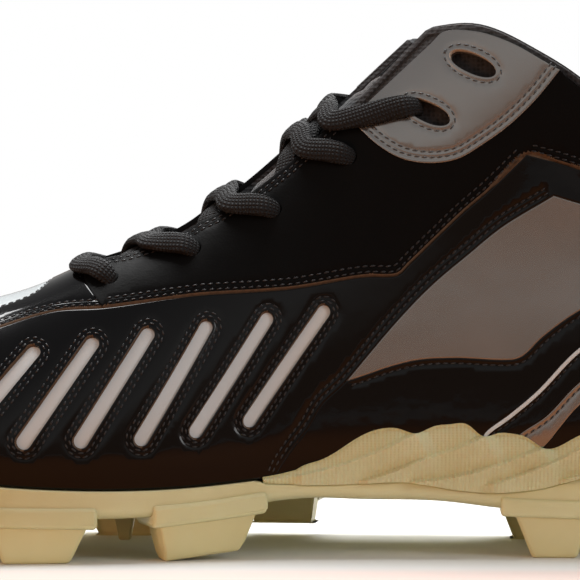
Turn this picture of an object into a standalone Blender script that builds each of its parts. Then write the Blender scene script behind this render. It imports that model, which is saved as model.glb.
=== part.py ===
"""Baseball cleat for the right foot: moulded sole with studs, hollow mid-cut upper, overlays, lace.

X runs from the toe to the heel, Y from the medial to the lateral side, Z up. The studs stand on
Z = 0 and the sole's length is centred on X = 0.
"""

import math

import bmesh
import bpy
import numpy as np
from mathutils import Matrix, Vector

# Driving sizes of the shoe, in metres
LENGTH = 0.300
BALL_WIDTH = 0.098
HEEL_WIDTH = 0.066
SOLE_HEIGHT = 0.025
INSTEP_RISE = 0.075
COLLAR_RISE = 0.050
THROAT_WIDTH = 0.028

# Thicknesses
WALL = 0.0022
COLLAR_PAD = 0.0055
OVERLAY = 0.0012
TONGUE = 0.0040
INSOLE = 0.0030
CUP_WALL = 0.0026
LACE_WIDTH = 0.0070
LACE_THICKNESS = 0.0022

# Clearances between pieces
GAP = 0.0003
SEAT = 0.0004
INSOLE_INSET = WALL + 3 * SEAT
INSOLE_FLARE = 0.3 * INSOLE

# Layers outward from the upper's outer face
OVERLAY_FACE = GAP + OVERLAY
CUP_INNER = OVERLAY_FACE + SEAT
SOLE_EDGE = CUP_INNER + 0.0014
END_SHARE = SOLE_EDGE / LENGTH

# Round ends of the last in plan
HEEL_ROUND = 0.115
TOE_ROUND = 0.22
TOE_POWER = 2.3

# Sections of the last, heel to toe. "along" is a share of LENGTH from the heel. "ball" is how far
# the local width has grown from HEEL_WIDTH to BALL_WIDTH, "medial" and "lateral" are shares of that
# width, "ridge" is the top line's sideways place in shares of BALL_WIDTH. "foot" and "crown" are
# levels, see level(). "square" is the section's fullness.
LAST_COLUMNS = ("along", "ball", "medial", "lateral", "ridge", "foot", "crown", "square")
LAST = [
    (0.00, 0.00, 0.490, 0.495, 0.000, 1.033, 3.720, 5.0),
    (0.12, 0.00, 0.490, 0.505, 0.000, 1.027, 3.720, 5.0),
    (0.24, 0.00, 0.475, 0.520, 0.000, 1.016, 3.600, 4.6),
    (0.34, 0.02, 0.445, 0.555, -0.010, 1.005, 3.230, 3.3),
    (0.42, 0.10, 0.425, 0.575, -0.020, 0.976, 2.810, 2.7),
    (0.50, 0.30, 0.420, 0.575, -0.040, 0.928, 2.355, 2.4),
    (0.58, 0.60, 0.455, 0.548, -0.060, 0.840, 1.983, 2.3),
    (0.66, 0.88, 0.485, 0.515, -0.080, 0.812, 1.822, 2.3),
    (0.74, 1.00, 0.505, 0.490, -0.090, 0.852, 1.678, 2.3),
    (0.82, 1.00, 0.520, 0.450, -0.096, 0.936, 1.600, 2.3),
    (0.90, 1.00, 0.515, 0.390, -0.100, 1.010, 1.530, 2.3),
    (1.00, 1.00, 0.480, 0.290, -0.104, 1.067, 1.450, 2.3),
]

# How far the heel's back lies forward of its rearmost point, in shares of LENGTH
LEAN_COLUMNS = ("level", "forward")
LEAN = [
    (0.80, 0.012),
    (1.20, 0.002),
    (1.47, 0.003),
    (1.80, 0.020),
    (2.20, 0.031),
    (2.70, 0.030),
    (3.20, 0.026),
]
LEAN_REACH = 0.35
LEAN_POWER = 1.5

# The ankle's narrowing
ANKLE_WAIST = 0.13
ANKLE_LEVEL = 1.90
ANKLE_SPREAD = 0.42
ANKLE_REACH = 0.50
ANKLE_POWER = 0.7

# The lower edge's turn toward the sole
TUCK = 0.028
TUCK_RISE = 0.16

# Toe profile from the side
TOE_DROP_FROM = 0.82
TOE_DROP_POWER = 2.6
TOE_TIP_SHARE = 0.60
TIP_TURN = 6

# Collar's top line
COLLAR = [
    (0.000, 2.78),
    (0.040, 2.68),
    (0.095, 2.56),
    (0.140, 2.54),
    (0.185, 2.62),
    (0.220, 2.76),
    (0.257, 2.89),
    (0.285, 2.98),
    (0.317, 3.045),
    (0.350, 3.04),
    (0.400, 3.00),
]

# Collar's padding: how far down it reaches in shares of COLLAR_RISE, and where it ends forward
PAD_REACH = 0.6
PAD_END = 0.30
PAD_FADE = 0.10

# Throat
THROAT_FRONT = 0.690
THROAT_ROUND = 0.050
THROAT_BACK = 0.340
THROAT_TURN = THROAT_FRONT - 0.3 * THROAT_ROUND

# Top line of the sole's cup, with its waves
CUP_TOP = [
    (0.000, 1.150),
    (0.060, 1.165),
    (0.110, 1.120),
    (0.140, 1.100),
    (0.180, 1.145),
    (0.222, 1.125),
    (0.254, 1.084),
    (0.268, 1.120),
    (0.282, 1.136),
    (0.297, 1.137),
    (0.311, 1.128),
    (0.324, 1.168),
    (0.340, 1.172),
    (0.357, 1.163),
    (0.375, 1.137),
    (0.388, 1.152),
    (0.402, 1.157),
    (0.427, 1.125),
    (0.447, 1.074),
    (0.465, 1.036),
    (0.483, 1.012),
    (0.500, 0.965),
    (0.520, 0.925),
]
CUP_FRONT = 0.520
WAVES_REAR = 0.20
CREST_CLEAR = 0.006
CUP_MIDDLE = 0.45
CUP_LIP = 0.45 * CUP_WALL
CUP_FOOT = 0.75 * CUP_WALL
STEP_START = 0.002
STEP_END = 0.004

# Line where the cup meets the outsole
JOIN = [
    (0.000, 1.000),
    (0.120, 0.950),
    (0.224, 0.888),
    (0.252, 0.800),
    (0.280, 0.756),
    (0.310, 0.744),
    (0.344, 0.788),
    (0.381, 0.856),
    (0.410, 0.856),
    (0.447, 0.832),
    (0.483, 0.832),
    (0.520, 0.850),
]

# Underside of the outsole's plate
PLATE = [
    (0.000, 0.600),
    (0.080, 0.510),
    (0.200, 0.510),
    (0.300, 0.568),
    (0.345, 0.632),
    (0.430, 0.660),
    (0.470, 0.676),
    (0.510, 0.640),
    (0.560, 0.552),
    (0.640, 0.490),
    (0.740, 0.492),
    (0.820, 0.528),
    (0.900, 0.620),
    (1.000, 0.860),
]
PLATE_ROUND = 0.0035

# Ground lugs. Shares along and levels; "front" and "rear" are the ends toward the toe and the heel.
# block is the lug's base on the plate, neck the stud's top, foot its bottom. rim_front and rim_rear
# are the base's lower edge, ground the stud's foot and lift how much its rear end rises.
LUG_COLUMNS = (
    "name", "side", "block_front", "block_rear", "neck_front", "neck_rear",
    "foot_front", "foot_rear", "rim_front", "rim_rear", "ground", "lift",
)
LUGS = [
    ("toe_medial", -1, 0.918, 0.842, 0.912, 0.848, 0.902, 0.860, 0.48, 0.43, 0.00, 0.00),
    ("ball_medial", -1, 0.773, 0.673, 0.770, 0.680, 0.757, 0.697, 0.412, 0.376, 0.00, 0.00),
    ("waist_medial", -1, 0.623, 0.517, 0.618, 0.525, 0.610, 0.540, 0.376, 0.520, 0.00, 0.10),
    ("heel_medial", -1, 0.293, 0.200, 0.281, 0.207, 0.263, 0.220, 0.476, 0.444, 0.00, 0.00),
    ("back_medial", -1, 0.135, 0.050, 0.128, 0.057, 0.114, 0.070, 0.440, 0.440, 0.00, 0.00),
    ("toe_lateral", 1, 0.878, 0.795, 0.872, 0.802, 0.860, 0.815, 0.46, 0.42, 0.00, 0.00),
    ("ball_lateral", 1, 0.705, 0.615, 0.700, 0.622, 0.688, 0.636, 0.40, 0.38, 0.00, 0.00),
    ("waist_lateral", 1, 0.540, 0.457, 0.534, 0.463, 0.526, 0.468, 0.46, 0.52, 0.17, 0.00),
    ("heel_lateral", 1, 0.293, 0.200, 0.281, 0.207, 0.263, 0.220, 0.476, 0.444, 0.00, 0.00),
    ("back_lateral", 1, 0.135, 0.050, 0.128, 0.057, 0.114, 0.070, 0.440, 0.440, 0.00, 0.00),
]
LUG_PROUD = 0.0008
BLOCK_WIDTH = 0.019
NECK_WIDTH = 0.0125
FOOT_WIDTH = 0.0085
NECK_INSET = 0.0006
FOOT_INSET = 0.0022
NUB_ALONG = 0.653
NUB_LENGTH = 0.0075
NUB_LEVEL = 0.12
NUB_FOOT = 0.45

# Tongue
TONGUE_FRONT = 0.745
TONGUE_BACK = 0.388
TONGUE_HALF = 0.024
TONGUE_DROP = 0.0021
TONGUE_ROWS = 8
TONGUE_STEPS = 12

# Seams between the overlays, as (along, level) rows from the front to the rear or down
VAMP_EDGE = [(0.893, 1.395), (0.833, 1.485), (0.773, 1.585), (0.732, 1.655), (0.718, 1.720), (0.715, 1.850)]
EYESTAY_FOOT = [
    (0.877, 1.310),
    (0.833, 1.420),
    (0.763, 1.524),
    (0.713, 1.584),
    (0.667, 1.599),
    (0.603, 1.637),
    (0.577, 1.651),
    (0.493, 1.677),
    (0.423, 1.723),
    (0.390, 1.731),
    (0.379, 1.772),
    (0.328, 1.967),
    (0.303, 2.074),
    (0.265, 2.282),
    (0.233, 2.234),
    (0.167, 2.120),
    (0.083, 2.060),
    (0.030, 2.040),
]
EYESTAY_FRONT = [(0.667, 1.599), (0.680, 1.75), (0.684, 1.95)]
CAP_FOOT = [
    (0.428, 2.452),
    (0.408, 2.338),
    (0.387, 2.264),
    (0.362, 2.236),
    (0.334, 2.258),
    (0.308, 2.344),
    (0.282, 2.452),
    (0.255, 2.600),
    (0.232, 2.760),
]
CAP_TOP = [
    (0.245, 2.800),
    (0.280, 2.915),
    (0.313, 2.980),
    (0.343, 2.980),
    (0.355, 2.915),
    (0.390, 2.72),
    (0.424, 2.53),
]
STRAP_TOP = [(0.222, 2.700), (0.185, 2.560), (0.140, 2.480), (0.095, 2.500), (0.030, 2.640)]
QUARTER_FRONT = [
    (0.238, 2.052),
    (0.290, 1.916),
    (0.323, 1.813),
    (0.357, 1.700),
    (0.390, 1.565),
    (0.440, 1.331),
]
QUARTER_TOP = [(0.222, 2.024), (0.167, 1.960), (0.107, 1.913), (0.030, 1.887)]
QUARTER_FOOT = [
    (0.423, 1.353),
    (0.398, 1.387),
    (0.372, 1.412),
    (0.338, 1.420),
    (0.279, 1.416),
    (0.269, 1.439),
    (0.256, 1.491),
    (0.222, 1.588),
    (0.173, 1.680),
    (0.117, 1.747),
    (0.030, 1.787),
]
PANEL_REAR = [(0.447, 1.304), (0.462, 1.248), (0.476, 1.156), (0.493, 1.069), (0.507, 0.928), (0.512, 0.700)]
BAND_TOP = [
    (0.310, 0.980),
    (0.277, 1.128),
    (0.251, 1.199),
    (0.222, 1.319),
    (0.177, 1.453),
    (0.123, 1.540),
    (0.030, 1.593),
]
BAND_FOOT = [
    (0.290, 0.940),
    (0.254, 1.083),
    (0.237, 1.165),
    (0.222, 1.236),
    (0.177, 1.373),
    (0.123, 1.467),
    (0.030, 1.520),
]
TOE_SEAM = [
    (0.843, 0.700),
    (0.846, 0.900),
    (0.857, 1.130),
    (0.877, 1.310),
    (0.893, 1.395),
    (0.912, 1.530),
    (0.925, 1.850),
]
BELOW = 0.70
BEHIND = -0.05
BEFORE = 1.05

# Rows that close the outlines where a piece runs past the upper's edge
TOE_FRONT = [(BEFORE, 1.8), (BEFORE, BELOW)]
VAMP_OVER = [(0.715, 2.2), (0.925, 2.2)]
STRIP_OVER = [(0.715, 1.95)]
EYESTAY_OVER = [(0.440, 2.9)]
PANEL_UNDER = [(0.312, BELOW)]
BAND_BEHIND = [(BEHIND, 1.60), (BEHIND, 1.53)]
COUNTER_UNDER = [(BEHIND, 1.53), (BEHIND, BELOW), (0.290, BELOW)]
STRAP = [(0.030, 2.64), (0.030, 1.593), (BEHIND, 1.60), (BEHIND, 2.72)]

# Slots in the side panel
SLOT_COLUMNS = ("top_along", "top_level", "foot_along", "foot_level")
SLOTS = [
    (0.731, 1.440, 0.796, 1.120),
    (0.677, 1.472, 0.738, 1.115),
    (0.626, 1.507, 0.686, 1.118),
    (0.572, 1.533, 0.631, 1.124),
    (0.515, 1.564, 0.581, 1.151),
    (0.461, 1.592, 0.531, 1.188),
]
SLOT_WIDTH = 0.0036

# Eyelets: punched rounds, then two slots in the cap
EYELET_COLUMNS = ("along", "level", "length")
EYELETS = [
    (0.662, 1.708, 0.0046),
    (0.583, 1.822, 0.0046),
    (0.507, 1.975, 0.0046),
    (0.435, 2.270, 0.0046),
    (0.361, 2.525, 0.0150),
    (0.317, 2.800, 0.0150),
]
EYELET_WIDTH = 0.0046
EYELET_TILT = math.radians(27)
ROUND_SIDES = 8

# Depths of the cutters
THROUGH = 3 * BALL_WIDTH
SLOT_DEPTH = 0.6 * BALL_WIDTH
EYELET_DEPTH = 6 * OVERLAY + 2 * WALL

# Lace: how far its middle lies off the upper's face at an eyelet, over the throat's edge, in the
# throat's middle and under the other edge
LACE_OFF_EYELET = 0.0038
BAR_OFF_EYELET = 0.0031
LACE_OFF_EDGE = 0.0040
LACE_OFF_MIDDLE = 0.0012
LACE_OFF_UNDER = 0.0006

# Crossing lace: where it starts and passes the throat's middle and edge, in shares of the way up
LACE_START = 0.35
LACE_MIDDLE = 0.35
LACE_OVER = 0.72
LACE_UNDER = 0.62
LACE_POINTS = 8
LACE_SIDES = 6

# Steps round one side of the last, and up its girth
HEEL_STEPS = 6
WAIST_STEPS = 12
TOE_STEPS = 7
GIRTH_STEPS = 8

COLLECTION = "baseball_cleat"
CUTTERS = "cutters"
MEDIAL, LATERAL = -1, 1
TINY = 1e-4
PROBE = 0.001
MITRE = 0.5
FOOT_SHARE = 0.08


def clear_scene():
    for thing in list(bpy.data.objects):
        bpy.data.objects.remove(thing)
    for name in (COLLECTION, CUTTERS):
        bpy.context.scene.collection.children.link(bpy.data.collections.new(name))


def level(rise):
    """Height of a level: 0 ground, 1 the sole's top, 2 the instep, 3 the collar's top."""
    rise = np.asarray(rise, float)
    return (
        np.minimum(rise, 1) * SOLE_HEIGHT
        + np.clip(rise - 1, 0, 1) * INSTEP_RISE
        + np.maximum(rise - 2, 0) * COLLAR_RISE
    )


def smooth(rows, names, name, at):
    """Value of a column on the natural cubic spline through a table's rows."""
    knots = np.array([row[0] for row in rows])
    values = np.array([row[names.index(name)] for row in rows])
    steps = np.diff(knots)
    count = len(knots)
    system = np.eye(count)
    right = np.zeros(count)
    for i in range(1, count - 1):
        system[i, i - 1 : i + 2] = steps[i - 1], 2 * (steps[i - 1] + steps[i]), steps[i]
        right[i] = 6 * ((values[i + 1] - values[i]) / steps[i] - (values[i] - values[i - 1]) / steps[i - 1])
    bend = np.linalg.solve(system, right)
    at = np.clip(np.asarray(at, float), knots[0], knots[-1])
    i = np.clip(np.searchsorted(knots, at) - 1, 0, count - 2)
    after, before = knots[i + 1] - at, at - knots[i]
    return (
        (bend[i] * after**3 + bend[i + 1] * before**3) / (6 * steps[i])
        + (values[i] / steps[i] - bend[i] * steps[i] / 6) * after
        + (values[i + 1] / steps[i] - bend[i + 1] * steps[i] / 6) * before
    )


def last(name, along):
    return smooth(LAST, LAST_COLUMNS, name, along)


def line_height(rows, along):
    """Height of a line given by (along, level) rows."""
    return level(smooth(rows, ("along", "level"), "level", along))


HEEL_WAY = HEEL_STEPS / (HEEL_STEPS + WAIST_STEPS + TOE_STEPS)
TOE_WAY = TOE_STEPS / (HEEL_STEPS + WAIST_STEPS + TOE_STEPS)


def along_at(way):
    """Share of the length at a way from 0, the heel's back, to 1, the toe's tip."""
    way = np.asarray(way, float)
    heel = np.clip(way / HEEL_WAY, 0, 1)
    toe = np.clip((way - 1 + TOE_WAY) / TOE_WAY, 0, 1)
    middle = np.clip((way - HEEL_WAY) / (1 - HEEL_WAY - TOE_WAY), 0, 1)
    return (
        END_SHARE
        + HEEL_ROUND * (1 - np.cos(heel * math.pi / 2))
        + (1 - 2 * END_SHARE - HEEL_ROUND - TOE_ROUND) * middle
        + TOE_ROUND * np.sin(toe * math.pi / 2) ** (2 / TOE_POWER)
    )


def end_width(way):
    """Share of the width that the round heel and toe leave."""
    heel = np.clip(way / HEEL_WAY, 0, 1)
    toe = np.clip((way - 1 + TOE_WAY) / TOE_WAY, 0, 1)
    return np.sin(heel * math.pi / 2) * np.maximum(np.cos(toe * math.pi / 2), 0) ** (2 / TOE_POWER)


STATION_STEP = 1 / (HEEL_STEPS + WAIST_STEPS + TOE_STEPS)
STATION_CLEAR = 0.4 * STATION_STEP
WAYS = np.linspace(0, 1, 4001)
ALONGS = along_at(WAYS)


def way_at(along):
    return np.interp(along, ALONGS, WAYS)


def place_x(along, height):
    """X of a share along at a height: the heel's back leans forward over the sole."""
    rows = [(float(level(row[0])), row[1]) for row in LEAN]
    forward = smooth(rows, LEAN_COLUMNS, "forward", height)
    return LENGTH * (0.5 - along - forward * np.clip(1 - along / LEAN_REACH, 0, 1) ** LEAN_POWER)


def last_point(way, up, side):
    """Point of the last's outer face. up runs from 0 at the sole to 1 at the top line."""
    way, up = np.broadcast_arrays(np.asarray(way, float), np.asarray(up, float))
    along = along_at(way)
    foot = level(last("foot", along))
    toe = np.clip((along - TOE_DROP_FROM) / (1 - END_SHARE - TOE_DROP_FROM), 0, 1)
    round_toe = np.maximum(1 - toe**TOE_DROP_POWER, 0) ** (1 / TOE_DROP_POWER)
    crown = foot + (level(last("crown", along)) - foot) * (TOE_TIP_SHARE + (1 - TOE_TIP_SHARE) * round_toe)
    height = foot + (crown - foot) * up
    width = HEEL_WIDTH + (BALL_WIDTH - HEEL_WIDTH) * last("ball", along)
    ridge = last("ridge", along) * BALL_WIDTH
    half = width * last("medial" if side < 0 else "lateral", along) + side * -ridge
    square = last("square", along)
    rounded = np.maximum(1 - up**square, 0) ** (1 / square)
    ankle_level = level(ANKLE_LEVEL)
    spread = ANKLE_SPREAD * INSTEP_RISE
    waist = ANKLE_WAIST * np.exp(-(((height - ankle_level) / spread) ** 2))
    waist = waist * np.clip(1 - along / ANKLE_REACH, 0, 1) ** ANKLE_POWER
    tuck = TUCK * np.clip(1 - (height - foot) / (TUCK_RISE * INSTEP_RISE), 0, 1) ** 2
    y = ridge + side * half * end_width(way) * rounded * (1 - tuck) * (1 - waist)
    return np.stack([place_x(along, height), y, height], -1)


def unit(vectors):
    return vectors / np.maximum(np.linalg.norm(vectors, axis=-1, keepdims=True), 1e-12)


def skin(way, up, side, off=0.0):
    """Point at a distance off outward from the last's face, level with it near the sole."""
    way, up = np.broadcast_arrays(np.asarray(way, float), np.asarray(up, float))
    ahead = last_point(np.minimum(way + TINY, 1), up, side) - last_point(np.maximum(way - TINY, 0), up, side)
    rise = last_point(way, up, side) - last_point(way, np.maximum(up - TINY, 0), side)
    start = last_point(way, up + TINY, side) - last_point(way, up, side)
    rise = np.where((up < TINY)[..., None], start, rise)
    normal = unit(np.cross(ahead, rise) * side)
    normal[..., 2] *= np.clip(up / FOOT_SHARE, 0, 1)
    middle = (way < TINY) | (up > 1 - TINY)
    normal[..., 1] = np.where(middle, 0, normal[..., 1])
    tip = np.stack([-np.ones(up.shape), np.zeros(up.shape), up**TIP_TURN], -1)
    normal = unit(np.where((way > 1 - TINY)[..., None], tip, normal))
    return last_point(way, up, side) + normal * np.asarray(off)[..., None]


def up_samples(along, count=120):
    """Values of up, closer where the section turns over."""
    square = float(last("square", along))
    return np.sin(np.linspace(0, math.pi / 2, count)) ** (2 / max(square * 0.8, 2))


def up_for_height(along, height, side):
    way = way_at(along)
    ups = up_samples(along)
    return float(np.interp(height, last_point(way, ups, side)[:, 2], ups))


def up_for_width(along, width, side):
    """Value of up where the face is a width away from the top line."""
    ups = up_samples(along)[::-1]
    ridge = float(last("ridge", along)) * BALL_WIDTH
    reach = np.abs(last_point(way_at(along), ups, side)[:, 1] - ridge)
    top = int(np.argmax(reach))
    return float(np.interp(width, reach[: top + 1], ups[: top + 1]))


def throat_half(along):
    """Half of the throat's opening, nought in front of it and behind it."""
    into = (THROAT_FRONT - along) / THROAT_ROUND
    if into <= 0 or along < THROAT_BACK:
        return 0.0
    return THROAT_WIDTH / 2 * math.sqrt(1 - max(1 - into, 0) ** 2)


def edge_up(along, side):
    """Where the upper ends: at the collar's line or the throat's edge, whichever is lower."""
    half = throat_half(along)
    throat = 1.0 if half == 0 else up_for_width(along, half, side)
    if along > COLLAR[-1][0]:
        return throat
    return min(throat, up_for_height(along, float(line_height(COLLAR, along)), side))


def stations():
    """Ways of the sections, with one at each end of the throat's round front."""
    ways = list(np.linspace(0, HEEL_WAY, HEEL_STEPS + 1))
    ways += list(np.linspace(HEEL_WAY, 1 - TOE_WAY, WAIST_STEPS + 1)[1:])
    ways += list(np.linspace(1 - TOE_WAY, 1, TOE_STEPS + 1)[1:])
    near = [float(way_at(along)) for along in (THROAT_FRONT, THROAT_TURN)]
    kept = [way for way in ways if min(abs(way - other) for other in near) > STATION_CLEAR]
    return sorted(kept + near)


def section(way, side):
    """Values of up, evenly spaced along the section from the sole to the upper's edge."""
    along = float(along_at(way))
    top = edge_up(along, side)
    square = float(last("square", along))
    turn = math.asin(min(top, 1) ** (square / 2)) if top < 1 else math.pi / 2
    fine = np.sin(np.linspace(0, turn, 400)) ** (2 / square)
    fine[-1] = min(top, 1)
    points = last_point(way, fine, side)
    run = np.concatenate([[0], np.cumsum(np.linalg.norm(np.diff(points, axis=0), axis=1))])
    return np.interp(np.linspace(0, run[-1], GIRTH_STEPS + 1), run, fine)


def loop_ways():
    """(way, side) of each column once round the shoe: heel, medial side, toe, lateral side."""
    ways = stations()
    there = [(way, MEDIAL) for way in ways]
    back = [(way, LATERAL) for way in reversed(ways[1:-1])]
    return there + back


def link(thing, collection=COLLECTION):
    bpy.data.collections[collection].objects.link(thing)
    return thing


def mesh_object(name, points, faces, closed=True):
    """Object of triangles. An open surface keeps the turn of its faces."""
    mesh = bpy.data.meshes.new(name)
    mesh.from_pydata([tuple(map(float, point)) for point in points], [], faces)
    work = bmesh.new()
    work.from_mesh(mesh)
    bmesh.ops.remove_doubles(work, verts=work.verts, dist=1e-6)
    bmesh.ops.dissolve_degenerate(work, edges=work.edges, dist=1e-7)
    bmesh.ops.triangulate(work, faces=work.faces, quad_method="FIXED")
    if closed:
        bmesh.ops.recalc_face_normals(work, faces=work.faces)
    work.to_mesh(mesh)
    work.free()
    return link(bpy.data.objects.new(name, mesh))


def material(name, colour, roughness, coat=0.0):
    made = bpy.data.materials.get(name) or bpy.data.materials.new(name)
    made.use_nodes = True
    shader = made.node_tree.nodes["Principled BSDF"]
    shader.inputs["Base Color"].default_value = (*colour, 1.0)
    shader.inputs["Roughness"].default_value = roughness
    shader.inputs["Coat Weight"].default_value = coat
    return made


def black_patent():
    return material("black patent leather", (0.006, 0.006, 0.007), 0.22, 1.0)


def matte_black():
    return material("matte black leather", (0.010, 0.010, 0.011), 0.55)


def silver_patent():
    return material("silver patent leather", (0.42, 0.41, 0.39), 0.25, 1.0)


def white_patent():
    return material("white patent leather", (0.72, 0.69, 0.66), 0.25, 1.0)


def black_mesh():
    return material("black mesh fabric", (0.012, 0.012, 0.013), 0.85)


def cream_rubber():
    return material("cream moulded rubber", (0.68, 0.60, 0.38), 0.45)


def black_foam():
    return material("black insole cloth", (0.015, 0.015, 0.016), 0.9)


def lace_cloth():
    return material("black woven lace", (0.012, 0.012, 0.013), 0.8)


def solidify(thing, thickness, offset, group=None):
    shell = thing.modifiers.new("shell", "SOLIDIFY")
    shell.thickness = thickness
    shell.offset = offset
    shell.use_even_offset = True
    shell.use_quality_normals = True
    if group:
        shell.vertex_group = group
    return shell


def boolean(thing, cutter, operation):
    cut = thing.modifiers.new(cutter.name, "BOOLEAN")
    cut.operation = operation
    cut.solver = "EXACT"
    cut.object = cutter
    return cut


def hide_cutter(thing):
    thing.hide_render = True
    thing.display_type = "WIRE"
    return thing


def face_grid(columns, off, closed):
    """Points and quads of the upper's outer face at the columns, moved outward by off.

    The columns run from the heel by the medial side and the toe to the lateral side.
    """
    points = []
    for way, side in columns:
        points += list(skin(way, section(way, side), side, off))
    rows = GIRTH_STEPS + 1
    faces = []
    for i in range(len(columns) if closed else len(columns) - 1):
        a, b = i * rows, (i + 1) % len(columns) * rows
        faces += [(a + j, a + j + 1, b + j + 1, b + j) for j in range(GIRTH_STEPS)]
    return points, faces


def collar_weight(point):
    """Share of the collar's padding at a point: full at the collar's edge behind the ankle."""
    along = 0.5 - point.x / LENGTH
    edge = float(line_height(COLLAR, along)) if along < COLLAR[-1][0] else float(level(3))
    near = min(max(1 - (edge - point.z) / (PAD_REACH * COLLAR_RISE), 0), 1)
    behind = min(max((PAD_END - along) / PAD_FADE, 0), 1)
    return near * behind


def make_upper(eyelets):
    """Hollow upper: one wall, open at the collar, the throat and underneath."""
    thing = mesh_object("upper", *face_grid(loop_ways(), 0.0, True), closed=False)
    group = thing.vertex_groups.new(name="wall")
    for vertex in thing.data.vertices:
        thick = WALL + (COLLAR_PAD - WALL) * collar_weight(vertex.co)
        group.add([vertex.index], thick / COLLAR_PAD, "REPLACE")
    solidify(thing, COLLAR_PAD, -1, "wall")
    for cutter in eyelets:
        boolean(thing, cutter, "DIFFERENCE")
    thing.data.materials.append(black_mesh())
    return thing


def extra_columns(alongs):
    """Columns once round the shoe, with more at the given shares along."""
    ways = sorted(stations() + [float(way_at(along)) for along in alongs])
    there = [(way, MEDIAL) for way in ways]
    back = [(way, LATERAL) for way in reversed(ways[1:-1])]
    return there + back


def foot_ring(columns, off, height):
    """Points round the foot of the last, moved outward by off, at a height given by along."""
    ring = []
    for way, side in columns:
        x, y, _ = skin(way, 0.0, side, off)
        ring.append((x, y, float(height(along_at(way)))))
    return ring


def wall_ring(columns, off, height):
    """Points on the last's face at a height given by along, moved outward by off."""
    ring = []
    for way, side in columns:
        along = float(along_at(way))
        up = up_for_height(along, float(height(along)), side)
        ring.append(skin(way, up, side, off))
    return ring


def ladder(base, count):
    """Faces that close a ring from side to side. Its point 0 is at the heel's back."""
    faces = [(base, base + 1, base + count - 1)]
    for i in range(1, (count - 1) // 2):
        faces.append((base + i, base + i + 1, base + count - i - 1, base + count - i))
    if count % 2 == 0:
        half = count // 2
        faces.append((base + half - 1, base + half, base + half + 1))
    return faces


def loft(name, rings):
    """Closed body through rings. The first and the last are closed from side to side.

    Rings with an odd number of points end short of the toe, and get a flat front face.
    """
    count = len(rings[0])
    front = count % 2 == 1
    half = (count - 1) // 2
    points = [point for ring in rings for point in ring]
    faces = []
    for r in range(len(rings) - 1):
        a, b = r * count, (r + 1) * count
        for i in range(count):
            if not (front and i == half):
                faces.append((a + i, a + (i + 1) % count, b + (i + 1) % count, b + i))
    faces += ladder(0, count) + ladder((len(rings) - 1) * count, count)
    if front:
        medial = [r * count + half for r in range(len(rings))]
        faces.append(medial + [index + 1 for index in reversed(medial)])
    return mesh_object(name, points, faces)


def foot_height(along):
    return level(last("foot", along))


def deck_height(along):
    return foot_height(along) - SEAT


def join_height(along):
    return line_height(JOIN, along)


def outsole_top(along):
    """Top of the outsole: under the cup behind its front end, under the upper before it."""
    if along < CUP_FRONT + (STEP_START + STEP_END) / 2:
        return join_height(min(along, CUP_FRONT)) - GAP
    return deck_height(along)


def plate_height(along):
    return line_height(PLATE, along)


def cup_top(along):
    return line_height(CUP_TOP, along)


def make_insole():
    columns = loop_ways()
    low = foot_ring(columns, -INSOLE_INSET, foot_height)
    high = foot_ring(columns, -INSOLE_INSET - INSOLE_FLARE, lambda along: foot_height(along) + INSOLE)
    thing = loft("insole", [low, high])
    thing.data.materials.append(black_foam())
    return thing


def sole_columns():
    """Columns round the sole, with more at the cup's crests and at its front end."""
    crests = [row[0] for row in CUP_TOP if WAVES_REAR < row[0] < CUP_FRONT]
    near = [float(along_at(way)) for way in stations()] + [CUP_FRONT]
    crests = [along for along in crests if min(abs(along - other) for other in near) > CREST_CLEAR]
    return extra_columns(crests + [CUP_FRONT, CUP_FRONT + STEP_START, CUP_FRONT + STEP_END])


def make_midsole():
    """Cup of the rear half: a deck under the foot and a wavy wall up the upper's side."""
    columns = [(way, side) for way, side in sole_columns() if along_at(way) <= CUP_FRONT + TINY]

    def middle(along):
        return mix(join_height(along), cup_top(along), CUP_MIDDLE)

    rings = [
        foot_ring(columns, CUP_INNER, deck_height),
        wall_ring(columns, CUP_INNER, cup_top),
        wall_ring(columns, CUP_INNER + CUP_LIP, cup_top),
        foot_ring(columns, CUP_INNER + CUP_WALL, middle),
        foot_ring(columns, CUP_INNER + CUP_FOOT, join_height),
    ]
    thing = loft("midsole", rings)
    thing.data.materials.append(cream_rubber())
    return thing


def hexahedron(name, place):
    """Cube whose corners are placed by their shares rearward, inward and upward."""
    mesh = bpy.data.meshes.new(name)
    work = bmesh.new()
    bmesh.ops.create_cube(work, size=1.0)
    for vertex in work.verts:
        vertex.co = place(*(share + 0.5 for share in vertex.co))
    bmesh.ops.recalc_face_normals(work, faces=work.faces)
    work.to_mesh(mesh)
    work.free()
    return hide_cutter(link(bpy.data.objects.new(name, mesh), CUTTERS))


def mix(a, b, share):
    return a + (b - a) * share


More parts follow.
